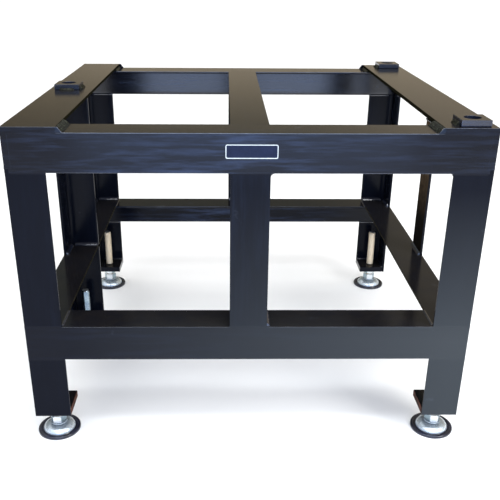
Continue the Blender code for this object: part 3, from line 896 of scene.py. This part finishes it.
# %% Lock nuts
STUD_RADIUS = 10 * MM
nut_bottom, nut_top = HEX_LOW.z, HEX_HIGH.z
bore = STUD_RADIUS + 0.4 * MM
sink = 1.3 * MM
bore_profile = [
    (0, nut_top + sink),
    (bore + 2 * sink, nut_top + sink),
    (bore, nut_top - sink),
    (bore, nut_bottom + sink),
    (bore + 2 * sink, nut_bottom - sink),
    (0, nut_bottom - sink),
]
nut_model = hexagon("lock_nut_model", nut_bottom, nut_top)
combine(nut_model, turned("nut_bore", bore_profile, 48), "DIFFERENCE")
shade(nut_model, 25)
for nut in copies_at_feet(nut_model, "lock_nut", nut_zinc, "lock_nut", "zinc"):
    shade_hexagon_sides(nut, nut_bottom, nut_top)

# %% [markdown]
# ## Stud with a real thread
# The stud is M20 with a pitch of 2.5 mm, so its thread is coarse enough to show as fine bands.
# One turn of the thread's outline goes up a helix with a Screw modifier, both ends are cut square and closed,
# and a plain blank with a chamfered end trims the crests, as a die does.
# Below, the lathe gives the shank, the neck and the ball that swivels in the cup, and the hexagon is joined
# on.

# %% Stud
PITCH = 2.5 * MM
THREAD_DEPTH = 1.35 * MM
BALL_RADIUS = 8.5 * MM
NECK_RADIUS = 5.5 * MM
BALL_FLAT = 4.5 * MM
SHOULDER = 0.5 * MM
ball_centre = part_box("stud_front_left")[0].z + BALL_FLAT
washer_low, washer_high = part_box("washer_front_left")
washer_bottom, washer_top = washer_low.z, washer_high.z
hex_bottom = washer_top + 0.3 * MM
hex_top = hex_bottom + (nut_top - nut_bottom)


def thread(name, bottom, top):
    """A threaded rod with square ends, a little longer than its blank."""
    root = STUD_RADIUS - THREAD_DEPTH
    start = bottom - 2 * PITCH
    tooth = [
        (root, 0, start),
        (root, 0, start + 0.14 * PITCH),
        (STUD_RADIUS, 0, start + 0.50 * PITCH),
        (STUD_RADIUS, 0, start + 0.64 * PITCH),
        (root, 0, start + PITCH),
    ]
    piece = drawn_line(name, tooth)
    stop_editing()
    turns = math.ceil((top - bottom) / PITCH) + 3
    settings = {"screw_offset": PITCH, "iterations": turns, "steps": 24, "render_steps": 24}
    apply_modifier(piece, "SCREW", **settings)
    start_editing(piece)
    merge_doubles()
    cut_off(bottom - 0.2 * MM, -1)
    cut_off(top + 0.2 * MM, 1)
    select_all()
    bpy.ops.mesh.normals_make_consistent(inside=False)
    stop_editing()
    return piece


def stud(name, top):
    lead = 1.8 * MM
    crest = STUD_RADIUS - 0.12 * MM
    blank = [(0, top), (crest - lead, top), (crest, top - lead), (crest, hex_top - MM), (0, hex_top - MM)]
    piece = thread(name, hex_top - MM, top)
    combine(piece, turned(name + "_blank", blank, 48), "INTERSECT")
    neck_bottom = ball_centre + math.sqrt(BALL_RADIUS ** 2 - NECK_RADIUS ** 2)
    end_angle = math.degrees(math.asin(-BALL_FLAT / BALL_RADIUS))
    start_angle = math.degrees(math.acos(NECK_RADIUS / BALL_RADIUS))
    shank = [(0, hex_top - 2 * MM), (STUD_RADIUS, hex_top - 2 * MM), (STUD_RADIUS, washer_bottom)]
    shank += [(NECK_RADIUS, washer_bottom - SHOULDER), (NECK_RADIUS, neck_bottom)]
    shank += arc((0, ball_centre), BALL_RADIUS, start_angle, end_angle, 14)[1:]
    shank.append((0, ball_centre - BALL_FLAT))
    body = hexagon(name + "_hexagon", hex_bottom, hex_top)
    combine(body, turned(name + "_shank", shank, 64), "UNION")
    combine(body, piece, "UNION")
    body.name = body.data.name = name
    shade(body, 25)
    return body


stud_models = {}
for corner in CORNERS:
    stud_top = round(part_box("stud_" + corner)[1].z, 5)
    if stud_top not in stud_models:
        stud_models[stud_top] = stud("stud_model_" + corner, stud_top)
    fine_stud = at_foot(stud_models[stud_top], "fine_stud_" + corner, corner)
    dress(fine_stud, nut_zinc, "stud_" + corner, "zinc", "stud_" + corner)
    thread_zinc = white_thread if corner == "mid_left" else yellow_thread
    repaint(fine_stud, thread_zinc, lambda face: face.center.z > hex_top and face.normal.z < 0.9)
    shade_hexagon_sides(fine_stud, hex_bottom, hex_top)
    print(fine_stud.name, "faces", len(fine_stud.data.polygons), "top", stud_top)
discard(*stud_models.values())

# %% [markdown]
# ## Washer, cup and rubber ring
# The washer rides under the hexagon. The cup is one pressing: a flat crown round the pocket, a smooth dome
# and a thin rim that stands in the rubber.
# The rubber ring has a rounded edge, a groove between its rim and the cup, and shallow rings underneath for
# grip.

# %% Washers
washer_radius = (washer_high.x - washer_low.x) / 2
WASHER_BORE = STUD_RADIUS + 0.6 * MM
BROKEN_EDGE = 0.35 * MM
washer_profile = [
    (WASHER_BORE, washer_top - BROKEN_EDGE),
    (WASHER_BORE + BROKEN_EDGE, washer_top),
    (washer_radius - 2 * BROKEN_EDGE, washer_top),
    (washer_radius - 0.5 * BROKEN_EDGE, washer_top - 0.5 * BROKEN_EDGE),
    (washer_radius, washer_top - 2 * BROKEN_EDGE),
    (washer_radius, washer_bottom + BROKEN_EDGE),
    (washer_radius - BROKEN_EDGE, washer_bottom),
    (WASHER_BORE, washer_bottom),
    (WASHER_BORE, washer_top - BROKEN_EDGE),
]
washer_model = turned("washer_model", washer_profile, 64)
copies_at_feet(washer_model, "washer", cup_zinc, "collar", "zinc")

# %% Cups
cup_low, cup_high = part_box("cup_front_left")
cup_radius = (cup_high.x - cup_low.x) / 2
CROWN_RADIUS = 15.5 * MM
RIM = 1.2 * MM
POCKET_RADIUS = 10.7 * MM
FINE_SIDES = 96
pocket_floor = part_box("ball_seat_front_left")[0].z - 1.0 * MM
crown = cup_high.z


def cup_profile():
    low_angle = math.degrees(math.asin((pocket_floor - ball_centre) / POCKET_RADIUS))
    high_angle = math.degrees(math.asin((crown - 0.4 * MM - ball_centre) / POCKET_RADIUS))
    points = [(0, pocket_floor)] + arc((0, ball_centre), POCKET_RADIUS, low_angle, high_angle, 10)
    mouth = points[-1][0]
    points += [(mouth + 0.4 * MM, crown), (CROWN_RADIUS - MM, crown)]
    rim_top = cup_low.z + RIM
    for step in range(1, 17):
        angle = math.radians(90 * step / 16)
        radius = CROWN_RADIUS - MM + (cup_radius - CROWN_RADIUS + MM) * math.sin(angle)
        points.append((radius, rim_top + (crown - rim_top) * math.cos(angle)))
    points += [(cup_radius, cup_low.z + 0.3 * MM), (cup_radius - 0.3 * MM, cup_low.z), (0, cup_low.z)]
    return points


cup_model = turned("cup_model", cup_profile(), FINE_SIDES, 40)
copies_at_feet(cup_model, "cup", cup_zinc, "cup", "zinc")
for corner in CORNERS:
    seat_finishes = nodes["ball_seat_" + corner].data.materials
    seat_finishes.clear()
    seat_finishes.append(nylon_finish)

# %% Rubber rings
ring_low, ring_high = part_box("rubber_ring_front_left")
ring_radius = (ring_high.x - ring_low.x) / 2
ring_top = ring_high.z
ROUNDING = 3.2 * MM
recess = cup_radius + 0.3 * MM
GROOVE_AND_RIM = ((0.4, 1.3), (1.3, 1.3), (2.2, 2.6), (3.3, 2.6), (4.4, 1.1), (5.4, 0.25))
GRIP_RINGS = (0.88, 0.72, 0.56, 0.40)


def ring_profile():
    points = [(0, cup_low.z - 0.3 * MM), (recess, cup_low.z - 0.3 * MM), (recess, ring_top - 1.7 * MM)]
    points += [(recess + out * MM, ring_top - down * MM) for out, down in GROOVE_AND_RIM]
    points += arc((ring_radius - ROUNDING, ring_top - ROUNDING), ROUNDING, 80, 0, 8)
    points += [(ring_radius, 0.9 * MM), (ring_radius - 0.25 * MM, 0.3 * MM), (ring_radius - 0.9 * MM, 0)]
    for share in GRIP_RINGS:
        for aside, deep in ((1.6, 0), (0.8, 0.8), (-0.8, 0.8), (-1.6, 0)):
            points.append((share * ring_radius + aside * MM, deep * MM))
    return points + [(0, 0)]


ring_model = turned("ring_model", ring_profile(), FINE_SIDES, 35)
copies_at_feet(ring_model, "rubber_ring", rubber_finish, "cup", "rubber")

# %% [markdown]
# ## Support pads
# The plate rests on three square pads: thick plates with a large round hole, welded on the side rails.
# A cube is stretched to the pad's size in edit mode, a turned plug cuts the hole, and the edges are bevelled.

# %% Support pads
HOLE_RADIUS = 16 * MM
PAD_PLACES = ("front_right", "back_right", "mid_left")


def support_pad(place):
    low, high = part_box("pad_" + place)
    piece = stretched_cube("fine_pad_" + place, high - low)
    stop_editing()
    tall = high.z - low.z
    plug = [(0, tall), (HOLE_RADIUS, tall), (HOLE_RADIUS, -tall), (0, -tall)]
    combine(piece, turned("pad_plug", plug, 64), "DIFFERENCE")
    start_editing(piece)
    move(*(low + high) / 2)
    pick(piece, "edges", lambda edge: edge.calc_face_angle() > math.radians(50))
    bpy.ops.mesh.bevel(offset=1.0 * MM, segments=3, affect="EDGES", clamp_overlap=True)
    stop_editing()
    shade(piece, 25)
    flatten(piece)
    dress(piece, pad_paint, "frame", "pad_paint", "pad_" + place)
    repaint(piece, PAINTS["along_y"], lambda face: face.normal.z > 0.9)
    return piece


for place in PAD_PLACES:
    pad = support_pad(place)
    print(pad.name, "faces", len(pad.data.polygons))

# %% [markdown]
# ## Weld beads
# The bars are welded wherever they meet. Inside the corners the beads were left as laid: convex, with the
# curved ripples of a bead that froze a drop at a time.
# One long bead is modelled once for each kind of joint: its section is drawn, pushed along ripple by ripple
# with each ripple swelling and shrinking, and bent back in the middle, because a ripple trails at its edges.
# Each weld is then a copy, cut to its length and turned into its corner.

# %% One long bead of each kind
RIPPLE = 2.9 * MM
LONGEST_BEAD = 92 * MM
SINK = 0.6 * MM
SECTION_STEPS = 6
BULGE = 0.16
TRAIL = 0.45 * RIPPLE


def fillet_section(leg_a, leg_b):
    """A corner bead's section: two legs along the corner's walls, and a face that bulges between them."""
    points = [(-SINK, -SINK), (leg_a, -SINK)]
    for step in range(SECTION_STEPS + 1):
        share = step / SECTION_STEPS
        swell = 1 + BULGE * math.sin(math.pi * share)
        points.append((leg_a * (1 - share) * swell, leg_b * share * swell))
    return points + [(-SINK, leg_b)]


def flat_section(width, height):
    """A butt bead's section: a low crown over the joint between two bars that lie flush."""
    points = [(-width / 2, -SINK), (width / 2, -SINK)]
    for step in range(SECTION_STEPS + 1):
        angle = math.pi * step / SECTION_STEPS
        points.append((width / 2 * math.cos(angle), height * math.sin(angle)))
    return points


def long_bead(name, section, swell=1.09):
    """A closed bead along Z from the origin, with a ripple every few millimetres."""
    piece = drawn_line(name, [(x, y, 0) for x, y in section] + [(*section[0], 0)])
    merge_doubles()
    for _ in range(round(LONGEST_BEAD / RIPPLE)):
        for part, factor in ((0.30, swell), (0.70, 1 / swell)):
            bpy.ops.mesh.extrude_edges_move(TRANSFORM_OT_translate={"value": (0, 0, part * RIPPLE)})
            bpy.ops.transform.resize(value=(factor, factor, 1), center_override=(0, 0, 0))
    reach = max(max(abs(x), abs(y)) for x, y in section)
    mesh = bmesh.from_edit_mesh(piece.data)
    for vertex in mesh.verts:
        away = min(1.0, math.hypot(vertex.co.x, vertex.co.y) / reach)
        vertex.co.z += TRAIL * away
    bmesh.update_edit_mesh(piece.data)
    cut_off(RIPPLE, -1)
    select_all()
    move(0, 0, -RIPPLE)
    stop_editing()
    return piece


BEADS = {
    "corner": long_bead("corner_bead", fillet_section(6.5 * MM, 6.5 * MM)),
    "small": long_bead("small_bead", fillet_section(4.0 * MM, 4.0 * MM)),
    "heavy": long_bead("heavy_bead", fillet_section(11.0 * MM, 9.0 * MM), swell=1.10),
    "butt": long_bead("butt_bead", flat_section(5.5 * MM, 1.1 * MM)),
    "ground": long_bead("ground_bead", flat_section(5.0 * MM, 0.08 * MM), swell=1.01),
}
print("beads", {kind: len(model.data.polygons) for kind, model in BEADS.items()})

# %% [markdown]
# ## Laying the welds
# A weld is given by the corner line it runs along, and the two directions in which the corner is open.
# Its ends are drawn in, where the welder started and stopped, unless they were ground flush with the frame.

# %% Cutting a bead to length and turning it into its corner
OUT = {1: Vector((1, 0, 0)), -1: Vector((-1, 0, 0))}
FORTH = {1: Vector((0, 1, 0)), -1: Vector((0, -1, 0))}
UP = Vector((0, 0, 1))
DOWN = -UP
SIDES = (-1, 1)


def on_side(side, *places):
    """Places given for the right or the back, taken to the side that is asked for."""
    return tuple(side * place for place in places)


def bead(kind, x, y, z, open_a, open_b, flush=(False, False)):
    """A bead in the corner that is open towards two directions. One of x, y and z is a pair: from and to."""
    spans = [place if isinstance(place, tuple) else (place, place) for place in (x, y, z)]
    start, end = (Vector(point) for point in zip(*spans))
    length = (end - start).length
    piece = copy_of(BEADS[kind], "bead")
    start_editing(piece)
    cut_off(length, 1)
    stop_editing()
    if kind == "ground":
        flush = (True, True)
    for vertex in piece.data.vertices:
        for end_flush, gone in zip(flush, (vertex.co.z, length - vertex.co.z)):
            if not end_flush and gone < RIPPLE:
                shrink = 0.45 + 0.55 * math.sin(math.radians(90) * max(0.0, gone) / RIPPLE)
                vertex.co.x *= shrink
                vertex.co.y *= shrink
    turn = Matrix((open_a, open_b, (end - start).normalized())).transposed().to_4x4()
    piece.data.transform(Matrix.Translation(start) @ turn)
    return piece


def weld(name, beads, material=lit_weld_paint, rough=0.5 * MM):
    """Joins beads into one weld, makes it a little uneven, as by hand, and hangs it on the frame."""
    deselect_all()
    for each in beads:
        each.select_set(True)
    bpy.context.view_layer.objects.active = beads[0]
    bpy.ops.object.join()
    piece = added(name)
    start_editing(piece)
    bpy.ops.mesh.normals_make_consistent(inside=False)
    stop_editing()
    if rough:
        unevenness = bpy.data.textures.new(name + "_unevenness", "CLOUDS")
        unevenness.noise_scale = 5 * MM
        settings = {"texture": unevenness, "strength": rough, "mid_level": 0.5, "texture_coords": "LOCAL"}
        apply_modifier(piece, "DISPLACE", **settings)
    shade(piece, 50)
    dress(piece, material, "frame", "frame_paint")
    print(piece.name, "beads", len(beads), "faces", len(piece.data.polygons))
    return piece


# %% [markdown]
# ## Welds round the top
# The side rails lie on the cross rails. Along each side rail's inner edge runs a bead, the heaviest one in
# front. There its end was ground level with the frame's face, which leaves a small sloping tab before the
# bead. The legs' and posts' tops are welded from inside. Beads stay out of the angles' rounded roots and
# stop a little short of their toes.

# %% Top welds
TAB = 11 * MM
TAB_REACH = 1.6 * MM
TAB_DEPTH = 2.5 * MM
PROUD = 0.05 * MM
ROOT = 8 * MM
SHORT = 1 * MM


def filled_line(name, outline):
    """A flat face inside a closed line, left open for editing."""
    piece = drawn_line(name, outline + outline[:1])
    merge_doubles()
    bpy.ops.mesh.edge_face_add()
    return piece


def ground_tab(side, end):
    """The flat sloping end of a toe bead, level with the frame's face."""
    toe, step = side * side_rail_toe, frame_top - cross_top
    inside = toe + side * TAB_REACH
    outline = [(inside, 0, cross_top - SINK), (toe - side * TAB, 0, cross_top - SINK)]
    outline += [(toe - side * TAB, 0, cross_top + 0.3 * MM), (toe - side * 0.3 * TAB, 0, cross_top + step)]
    outline += [(inside, 0, cross_top + step)]
    piece = filled_line("ground_tab", outline)
    move(0, end * (half_depth - TAB_DEPTH), 0)
    bpy.ops.mesh.extrude_region_move(TRANSFORM_OT_translate={"value": (0, end * (TAB_DEPTH + PROUD), 0)})

    def is_outline(edge):
        middle = (edge.verts[0].co + edge.verts[1].co) / 2
        is_front = abs(middle.y) > half_depth - 0.1 * MM
        return is_front and middle.z > cross_top and abs(middle.x - inside) > 0.5 * MM

    pick(piece, "edges", is_outline)
    bpy.ops.mesh.bevel(offset=0.9 * MM, segments=2, affect="EDGES")
    stop_editing()
    return piece


OUTER_CORNERS = [(side, end) for side in SIDES for end in SIDES]
tabs = [ground_tab(side, end) for side, end in OUTER_CORNERS]
top_beads = []
for side, end in OUTER_CORNERS:
    deep = on_side(end, half_depth - 2 * MM, toe_y + 2 * MM)
    kind, flush = ("heavy" if end < 0 else "small"), (False, end > 0)
    top_beads.append(bead(kind, side * side_rail_toe, deep, cross_top, OUT[-side], UP, flush))
weld("weld_side_rail_toes", top_beads, heavy_weld_paint, rough=1.0 * MM)
tab_piece = weld("weld_ground_tabs", tabs, PAINTS["along_x"], rough=0)
repaint(tab_piece, worn_edge, lambda face: 0.15 < abs(face.normal.y) < 0.9)

leg_top_beads = []
for side, end in OUTER_CORNERS:
    wide = on_side(side, inner_x - ROOT - SHORT, toe_x + SHORT)
    deep = on_side(end, inner_y - ROOT, toe_y + SHORT)
    leg_top_beads += [
        bead("butt", wide, end * inner_y, cross_bottom, UP, FORTH[-end]),
        bead("small", side * inner_x, deep, side_rail_bottom, OUT[-side], DOWN),
    ]
weld("weld_leg_tops", leg_top_beads)

# %% [markdown]
# The centre posts and the centre beam meet the cross rails at their middle.

# %% Centre welds
web_inside = half_flange - wall
centre_beads = []
for end in SIDES:
    inner, high = end * inner_y, (cross_bottom + 3 * MM, cross_top - wall - SHORT)
    aside = end * (inner_y - ROOT - 0.6 * MM)
    wide = (-half_flange + SHORT, web_inside - ROOT)
    inside, outside = (on_side(end, start, toe_y + SHORT) for start in (inner_y - ROOT, inner_y + 4 * MM))
    centre_beads += [
        bead("corner", wide, inner, lower_top, UP, FORTH[-end]),
        bead("butt", wide, inner, cross_bottom, UP, FORTH[-end]),
        bead("corner", web_inside, inside, lower_top, OUT[-1], UP),
        bead("corner", half_flange, outside, lower_top, OUT[1], UP),
        bead("small", half_flange, aside, high, OUT[1], FORTH[-end]),
        bead("small", web_inside, aside, high, OUT[-1], FORTH[-end]),
    ]
weld("weld_centre", centre_beads)

# %% [markdown]
# ## Welds at the lower rails
# The legs stand on the lower rails and go on below them. Their bases, and the seams between the rails, carry
# the beads that show most from the front.

# %% Lower rail welds
base_beads = []
seam_beads = []
for side, end in OUTER_CORNERS:
    x, y = side * inner_x, end * inner_y
    base_wide, seam_wide = (on_side(side, inner_x - gap, toe_x + SHORT) for gap in (ROOT, ROOT + SHORT))
    base_deep, seam_deep, toe_deep = (
        on_side(end, inner_y - gap, toe_y + SHORT) for gap in (ROOT, ROOT + SHORT, SHORT)
    )
    base_beads += [
        bead("corner", base_wide, y, lower_top, FORTH[-end], UP),
        bead("corner", x, base_deep, lower_top, OUT[-side], UP),
    ]
    seam_beads += [
        bead("butt", side * toe_x, toe_deep, lower_top, OUT[-side], UP),
        bead("butt", seam_wide, y, lower_bottom, UP, FORTH[-end]),
        bead("butt", x, seam_deep, lower_bottom, UP, OUT[-side]),
    ]
weld("weld_leg_bases", base_beads)
weld("weld_rail_seams", seam_beads)

# %% [markdown]
# ## Welds of the middle posts
# The left middle post is an angle: its cross flange is welded to the lower rail on both faces and under the
# side rail. The right one is a flat bar.

# %% Middle post welds
SIDE_RAIL_WALL = 10 * MM
LEG_ROOT = 22 * MM
under_rail = frame_top - SIDE_RAIL_WALL
near, far = -half_flange + SHORT, -toe_x - SHORT
post_beads = [
    bead("corner", -inner_x, (near, web_inside - ROOT), lower_top, OUT[1], UP),
    bead("corner", (-inner_x + ROOT, far), web_inside, lower_top, FORTH[-1], UP),
    bead("corner", (-inner_x + SHORT, far), half_flange, lower_top, FORTH[1], UP),
    bead("small", -inner_x, (near, web_inside - ROOT - SHORT), side_rail_bottom, OUT[1], DOWN),
    bead("small", (-half_width + LEG_ROOT, far), web_inside, under_rail, FORTH[-1], DOWN),
    bead("small", (-half_width + LEG_ROOT, far), half_flange, under_rail, FORTH[1], DOWN),
    bead("corner", inner_x, (near, -near), lower_top, OUT[-1], UP),
    bead("small", inner_x, (near, -near), side_rail_bottom, OUT[-1], DOWN),
]
weld("weld_middle_posts", post_beads)

# %% [markdown]
# ## Welds of the foot plates and the pads
# Each foot plate is welded inside its leg, and each pad has short beads on its inner side and behind.

# %% Foot plate and pad welds
PLATE_GAP = 0.3 * MM
HALF_PAD_BEAD = 17 * MM

plate_beads = []
for corner in CORNERS:
    low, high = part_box("foot_plate_" + corner)
    side = 1 if low.x > 0 else -1
    end = 1 if corner == "mid_left" or low.y > 0 else -1
    near_x, far_x = (high.x, low.x) if side > 0 else (low.x, high.x)
    near_y, far_y = (high.y, low.y) if end > 0 else (low.y, high.y)
    wide = (near_x - side * (ROOT + SHORT), far_x + side * SHORT)
    deep = (near_y - end * (ROOT + SHORT), far_y + end * SHORT)
    plate_beads += [
        bead("small", wide, near_y + end * PLATE_GAP, plate_top, FORTH[-end], UP),
        bead("small", near_x + side * PLATE_GAP, deep, plate_top, OUT[-side], UP),
    ]
weld("weld_foot_plates", plate_beads)

pad_beads = []
for place in PAD_PLACES:
    low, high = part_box("pad_" + place)
    middle = (low + high) / 2
    wide, deep = ((at - HALF_PAD_BEAD, at + HALF_PAD_BEAD) for at in (middle.x, middle.y))
    inner_side, x = (-1, low.x) if middle.x > 0 else (1, high.x)
    pad_beads += [
        bead("corner", x, deep, frame_top, OUT[inner_side], UP),
        bead("corner", wide, high.y, frame_top, FORTH[1], UP),
    ]
    if place == "mid_left":
        pad_beads.append(bead("small", wide, low.y, frame_top, FORTH[-1], UP))
weld("weld_pads", pad_beads, heavy_weld_paint)

# %% [markdown]
# ## Joints that were ground flush
# On the outside the beads were ground level with the bars and painted over, so a joint shows only as a very
# faint band. A crown less than a tenth of a millimetre high over each joint closes its line.

# %% Ground joints on the front, back and sides
rail_inside = half_width - SIDE_RAIL_WALL - 0.5 * MM
rail_seam = half_width - SIDE_RAIL_WALL - 0.15 * MM
ground_beads = []


def grind(*place):
    ground_beads.append(bead("ground", *place))


for end in SIDES:
    face = end * half_depth
    for height, far in ((cross_bottom, rail_inside), (lower_top, half_width), (lower_bottom, half_width)):
        for side in SIDES:
            grind(on_side(side, toe_x, far), face, height, UP, FORTH[end])
    for height in (cross_bottom, lower_top):
        grind((-half_flange, half_flange), face, height, UP, FORTH[end])
    for side in SIDES:
        grind(side * rail_seam, face, (cross_bottom, cross_top), OUT[1], FORTH[end])
        grind(on_side(side, rail_seam, side_rail_toe), face, cross_top, UP, FORTH[end])
        grind(on_side(side, rail_inside, half_width), face, side_rail_bottom, UP, FORTH[end])
for side in SIDES:
    face = side * half_width
    spans = [on_side(end, toe_y, half_depth) for end in SIDES] + [(-half_flange, half_flange)]
    for height in (side_rail_bottom, lower_top, lower_bottom):
        for near, far in spans:
            at_corner = abs(near) >= toe_y
            if height == lower_bottom and side > 0 and not at_corner:
                continue
            if height == lower_bottom and at_corner:
                far = math.copysign(inner_y, far)
            grind(face, (near, far), height, UP, OUT[side])
    for end in SIDES:
        grind(face, end * (inner_y - 0.15 * MM), (lower_bottom, lower_top), FORTH[1], OUT[side])
ground = weld("ground_joints", ground_beads, PAINTS["smooth_x"], rough=0)
front_line = cross_bottom - 0.2 * MM
repaint(ground, PAINTS["along_x"], lambda face: face.center.z > front_line and abs(face.normal.y) > 0.9)
discard(*BEADS.values())

# %% [markdown]
# ## Rounded corners of the front openings
# Where the front posts meet the rails, the weld was ground to a small radius that rounds the opening's
# corner. The radius's outline is drawn: out along one bar, round the arc, and back along the other. It is
# filled and pushed through the bars' wall.

# %% Corner radii
CORNER_STEPS = 8


def corner_radius(x, z, open_x, open_z, radius):
    """A piece that fills one corner of an opening in the front, up to an arc."""
    outline = [(x - open_x * SINK, 0, z - open_z * SINK), (x + open_x * radius, 0, z - open_z * SINK)]
    for step in range(CORNER_STEPS + 1):
        angle = math.radians(90) * step / CORNER_STEPS
        across, up = radius * (1 - math.sin(angle)), radius * (1 - math.cos(angle))
        outline.append((x + open_x * across, 0, z + open_z * up))
    outline.append((x - open_x * SINK, 0, z + open_z * radius))
    piece = filled_line("corner_radius", outline)
    move(0, -half_depth + PROUD, 0)
    bpy.ops.mesh.extrude_region_move(TRANSFORM_OT_translate={"value": (0, wall, 0)})
    stop_editing()
    return piece


radii = []
for x, open_x, radius in ((-half_flange, -1, 3.5 * MM), (half_flange, 1, 7 * MM), (toe_x, -1, 5 * MM)):
    radii.append(corner_radius(x, cross_bottom, open_x, -1, radius))
for side in SIDES:
    radii.append(corner_radius(side * half_flange, lower_top, side, 1, 3.5 * MM))
weld("weld_corner_radii", radii, PAINTS["smooth_x"], rough=0)

# %% [markdown]
# ## Small plate on the front rail
# A thin enamelled plate is fixed to the middle of the front rail: blue, with a raised white border.
# A cube is stretched to the plate's size, its corners are rounded, and the front face is inset twice to give
# the white band, which stands a little proud of the bare blue field.

# %% Enamelled plate
PLATE_SIZE = (96 * MM, 1.0 * MM, 26 * MM)
PLATE_CENTRE = (2 * MM, -half_depth - 0.5 * MM, 633.5 * MM)
PLATE_CORNER = 3.5 * MM
BAND = 1.1 * MM


def enamel(name, colour, shadow, roughness, specular):
    material, shader, place = new_material(name, specular=specular)
    tone = patches(place, 120.0, 4.0, 0.55, 0.3, 0.7)
    gloss = patches(place, 600.0, 3.0, 0.55, 0.3, 0.7, roughness, roughness + 0.12)
    coat(shader, mix(colour, shadow, tone), gloss)
    bump(shader, (noise(place, 2500.0, 2.0), 0.00001))
    return material


def small_plate():
    piece = stretched_cube("front_plate", PLATE_SIZE)
    pick(piece, "edges", lambda edge: abs(edge.verts[0].co.y - edge.verts[1].co.y) > PLATE_SIZE[1] / 2)
    bpy.ops.mesh.bevel(offset=PLATE_CORNER, segments=6, affect="EDGES")

    def is_front(face):
        return face.normal.y < -0.9 and face.calc_area() > 0.5 * PLATE_SIZE[0] * PLATE_SIZE[2]

    pick(piece, "faces", is_front)
    bpy.ops.mesh.inset(thickness=0.4 * MM)
    bpy.ops.mesh.inset(thickness=BAND)
    move(0, 0.25 * MM, 0)
    select_all()
    move(*PLATE_CENTRE)
    stop_editing()
    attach(piece, "frame")
    white = enamel("white_enamel", (0.62, 0.66, 0.64), (0.54, 0.58, 0.58), 0.30, 0.3)
    blue = enamel("blue_enamel", (0.010, 0.015, 0.040), (0.007, 0.011, 0.030), 0.20, 0.1)
    piece.data.materials.append(white)
    field = max(piece.data.polygons, key=lambda face: face.area if face.normal.y < -0.9 else 0)
    repaint(piece, blue, lambda face: face.index == field.index)
    return piece


plate = small_plate()
print(plate.name, "faces", len(plate.data.polygons))

# %% [markdown]
# ## The finished stand's size
# The dressed stand has to fill the same box as the solids it stands for.

# %% Finish
import json
